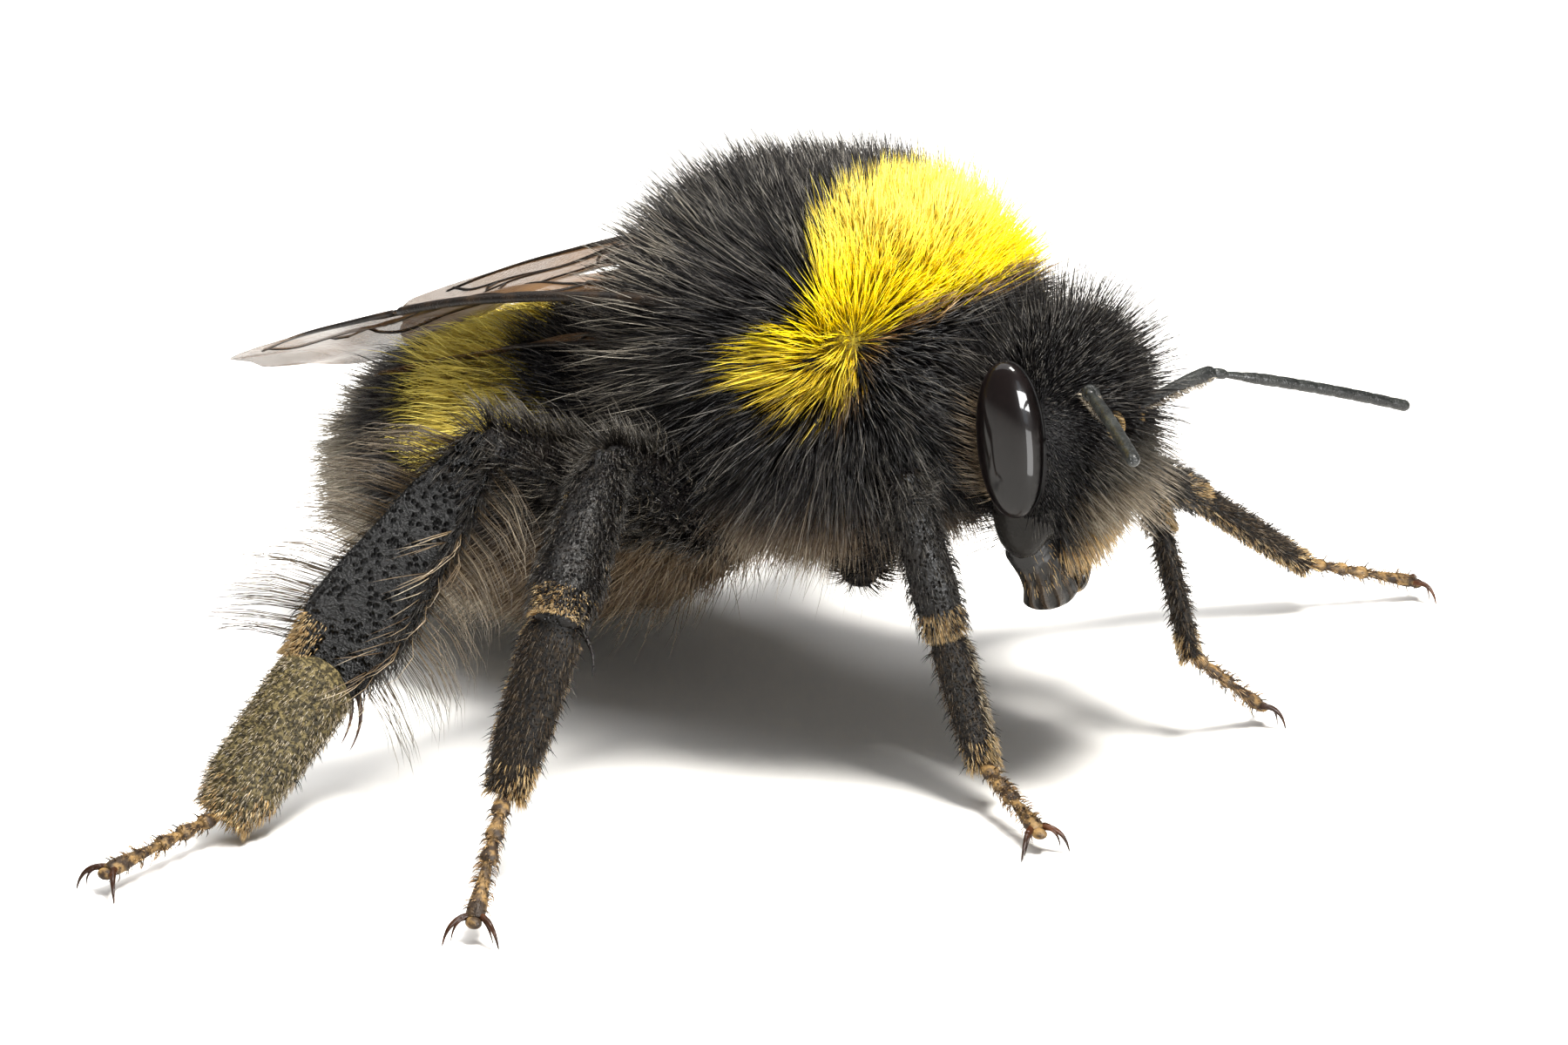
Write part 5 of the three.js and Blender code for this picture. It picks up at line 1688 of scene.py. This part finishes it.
# %% Wings
def membrane_finish(name):
    paint = Paint(name, IOR=1.5, Specular_IOR_Level=0.4)
    cloud = paint.noise(0.5, 4.0)
    colour = paint.mix(cloud.between(0.35, 0.7), (0.075, 0.036, 0.012), (0.16, 0.085, 0.034))
    wrinkles = paint.noise(1.6, 5.0) + paint.noise(9.0, 2.0) * 0.25
    return paint.finish(
        Base_Color=colour, Roughness=0.24 + cloud * 0.15, Alpha=0.46 + cloud * 0.30,
        Normal=paint.bump(wrinkles, 0.09, 0.6),
    )


MATERIALS["wing"] = membrane_finish("bee_wing")
FOREWING_VEINS = [  # places, radius at the root, and the share of it that is left at the end
    ([(0, 0.02), (0.3, 0.01), (0.62, 0.01)], 0.13, 0.8),
    ([(0.62, 0.01), (0.8, 0.015), (0.93, 0.1)], 0.075, 0.4),
    ([(0, 0.1), (0.3, 0.075), (0.6, 0.05)], 0.075, 0.7),
    ([(0.02, 0.3), (0.18, 0.38), (0.36, 0.42)], 0.07, 0.8),
    ([(0.36, 0.42), (0.4, 0.24), (0.45, 0.07)], 0.05, 0.9),
    ([(0.36, 0.42), (0.45, 0.55), (0.56, 0.62)], 0.05, 0.7),
    ([(0.02, 0.5), (0.2, 0.75), (0.42, 0.88)], 0.06, 0.6),
    ([(0.36, 0.42), (0.38, 0.6), (0.36, 0.86)], 0.045, 0.8),
    ([(0.43, 0.14), (0.5, 0.34), (0.66, 0.4), (0.82, 0.4)], 0.045, 0.6),
    ([(0.6, 0.04), (0.62, 0.2), (0.74, 0.27), (0.86, 0.2), (0.92, 0.07)], 0.048, 0.7),
    ([(0.56, 0.38), (0.57, 0.28), (0.61, 0.19)], 0.04, 0.9),
    ([(0.68, 0.4), (0.69, 0.32), (0.69, 0.24)], 0.04, 0.9),
    ([(0.81, 0.4), (0.82, 0.32), (0.81, 0.23)], 0.04, 0.9),
    ([(0.59, 0.38), (0.58, 0.5), (0.56, 0.62), (0.5, 0.72)], 0.04, 0.7),
    ([(0.77, 0.4), (0.77, 0.52), (0.73, 0.62), (0.56, 0.62)], 0.04, 0.9),
]
HINDWING_VEINS = [
    ([(0, 0.05), (0.4, 0.02), (0.62, 0.02)], 0.08, 0.6),
    ([(0.02, 0.3), (0.3, 0.35), (0.5, 0.3), (0.8, 0.2)], 0.05, 0.4),
    ([(0.02, 0.5), (0.3, 0.62), (0.6, 0.66)], 0.045, 0.4),
    ([(0.48, 0.31), (0.47, 0.48), (0.45, 0.64)], 0.035, 0.9),
]
SPOT, SPOT_ROWS = (0.58, 0.68), 20  # from where to where on the front edge
WINGS = {"forewing": (FOREWING, FOREWING_VEINS), "hindwing": (HINDWING, HINDWING_VEINS)}


def wing_root(surface, side):
    """The dark spot on a forewing's front edge, and the swollen root of the wing."""
    path = surface.at(np.linspace(*SPOT, SPOT_ROWS), 0.045)
    across = surface.read(surface.across, np.full(SPOT_ROWS, 0.63))
    size = noses(SPOT_ROWS, 0.4)
    root = Form(surface.edge[0] + [0, 0.1 * side, 0], [0.55, 0.32, 0.3])
    return [sweep(path, 0.13 * size, 0.06 * size, across, 12), root.shell(16, 20)]


for side_name, side in SIDES.items():
    for label, (plan, veins) in WINGS.items():
        surface = WingSurface(plan, side)
        node = f"{label}_{side_name}"
        add_piece(f"{node}_sheet", *wing_sheet(surface), "wing", "wing", replaces=[node])
        lines = [vein(surface, places, radius, end=end) for places, radius, end in veins]
        if label == "forewing":
            lines += wing_root(surface, side)
        add_piece(f"{node}_veins", *together(lines), "vein", "wing")

# %% [markdown]
# ## The stage
#
# The floor is a large pale sheet, and the light is that of a white studio: a dim sky all round,
# two large soft lamps above, and three more that act on gloss alone. Those put the square glint
# and the long soft light beside it into the eye.

# %% Floor
HALF = 0.6  # half the floor's width, in metres
corners = [(-HALF, -HALF, 0), (HALF, -HALF, 0), (HALF, HALF, 0), (-HALF, HALF, 0)]
floor_mesh = bpy.data.meshes.new("floor")
floor_mesh.from_pydata(corners, [], [(0, 1, 2, 3)])
floor = new_object("floor", floor_mesh)
paper = Paint("paper", Roughness=0.85, Specular_IOR_Level=0.1)
grain = paper.noise(0.9)
paper.finish(Base_Color=paper.mix(grain, (0.93, 0.92, 0.90), (0.95, 0.94, 0.92)))
floor_mesh.materials.append(paper.material)
print("floor", 2 * HALF, "m wide")

# %% Light
bpy.context.scene.view_settings.view_transform = "Standard"
SKY_COLOUR, SKY_STRENGTH = (1.0, 0.985, 0.96, 1.0), 0.22
EYE_AIM = (5.2, -1.9, 7.0)


def lamp(name, place, aim, size, watts, colour=(1, 1, 1), gloss_only=False):
    """A soft rectangle of light, its sides in millimetres. One that is for gloss only is seen in
    reflections, as a window is in an eye, and lights nothing else."""
    light = bpy.data.lights.new(name, "AREA")
    light.shape, light.size, light.size_y = "RECTANGLE", size[0] * MM, size[1] * MM
    light.energy, light.color = watts, colour
    holder = new_object(name, light)
    holder.visible_diffuse = not gloss_only
    holder.visible_camera = False
    place, aim = (Vector((np.array(p, float) + SHIFT) * MM) for p in (place, aim))
    holder.matrix_world = Matrix.LocRotScale(place, (aim - place).to_track_quat("-Z", "Y"), None)


sky = bpy.data.worlds.new("sky")
bpy.context.scene.world = sky
sky.use_nodes = True
background = sky.node_tree.nodes["Background"].inputs
background["Color"].default_value = SKY_COLOUR
background["Strength"].default_value = SKY_STRENGTH
# name, place, aim, size, watts, and colour if it isn't white
lamp("key", (20, -2, 80), (0, 0, 5), (26, 26), 0.17, (1.0, 0.97, 0.92))
lamp("top", (-30, 0, 80), (-4, 0, 5), (90, 90), 0.085)
lamp("window", (43.1, -23.0, 19.6), EYE_AIM, (38, 13), 0.1, gloss_only=True)
lamp("strip", (16.9, -8.1, 3.2), EYE_AIM, (6.4, 5.8), 0.0014, gloss_only=True)
lamp("band", (51, -34, 27), EYE_AIM, (20, 44), 0.006, (0.75, 0.87, 1.0), gloss_only=True)
print("lamps ready")

# %% Sizes and the end
coats = {name: count for name, count in made.items() if "coat" in name or "hair" in name}
print("coat triangles:", sum(coats.values()), "most in one piece:", max(coats.values()))
print("all faces:", sum(made.values()))
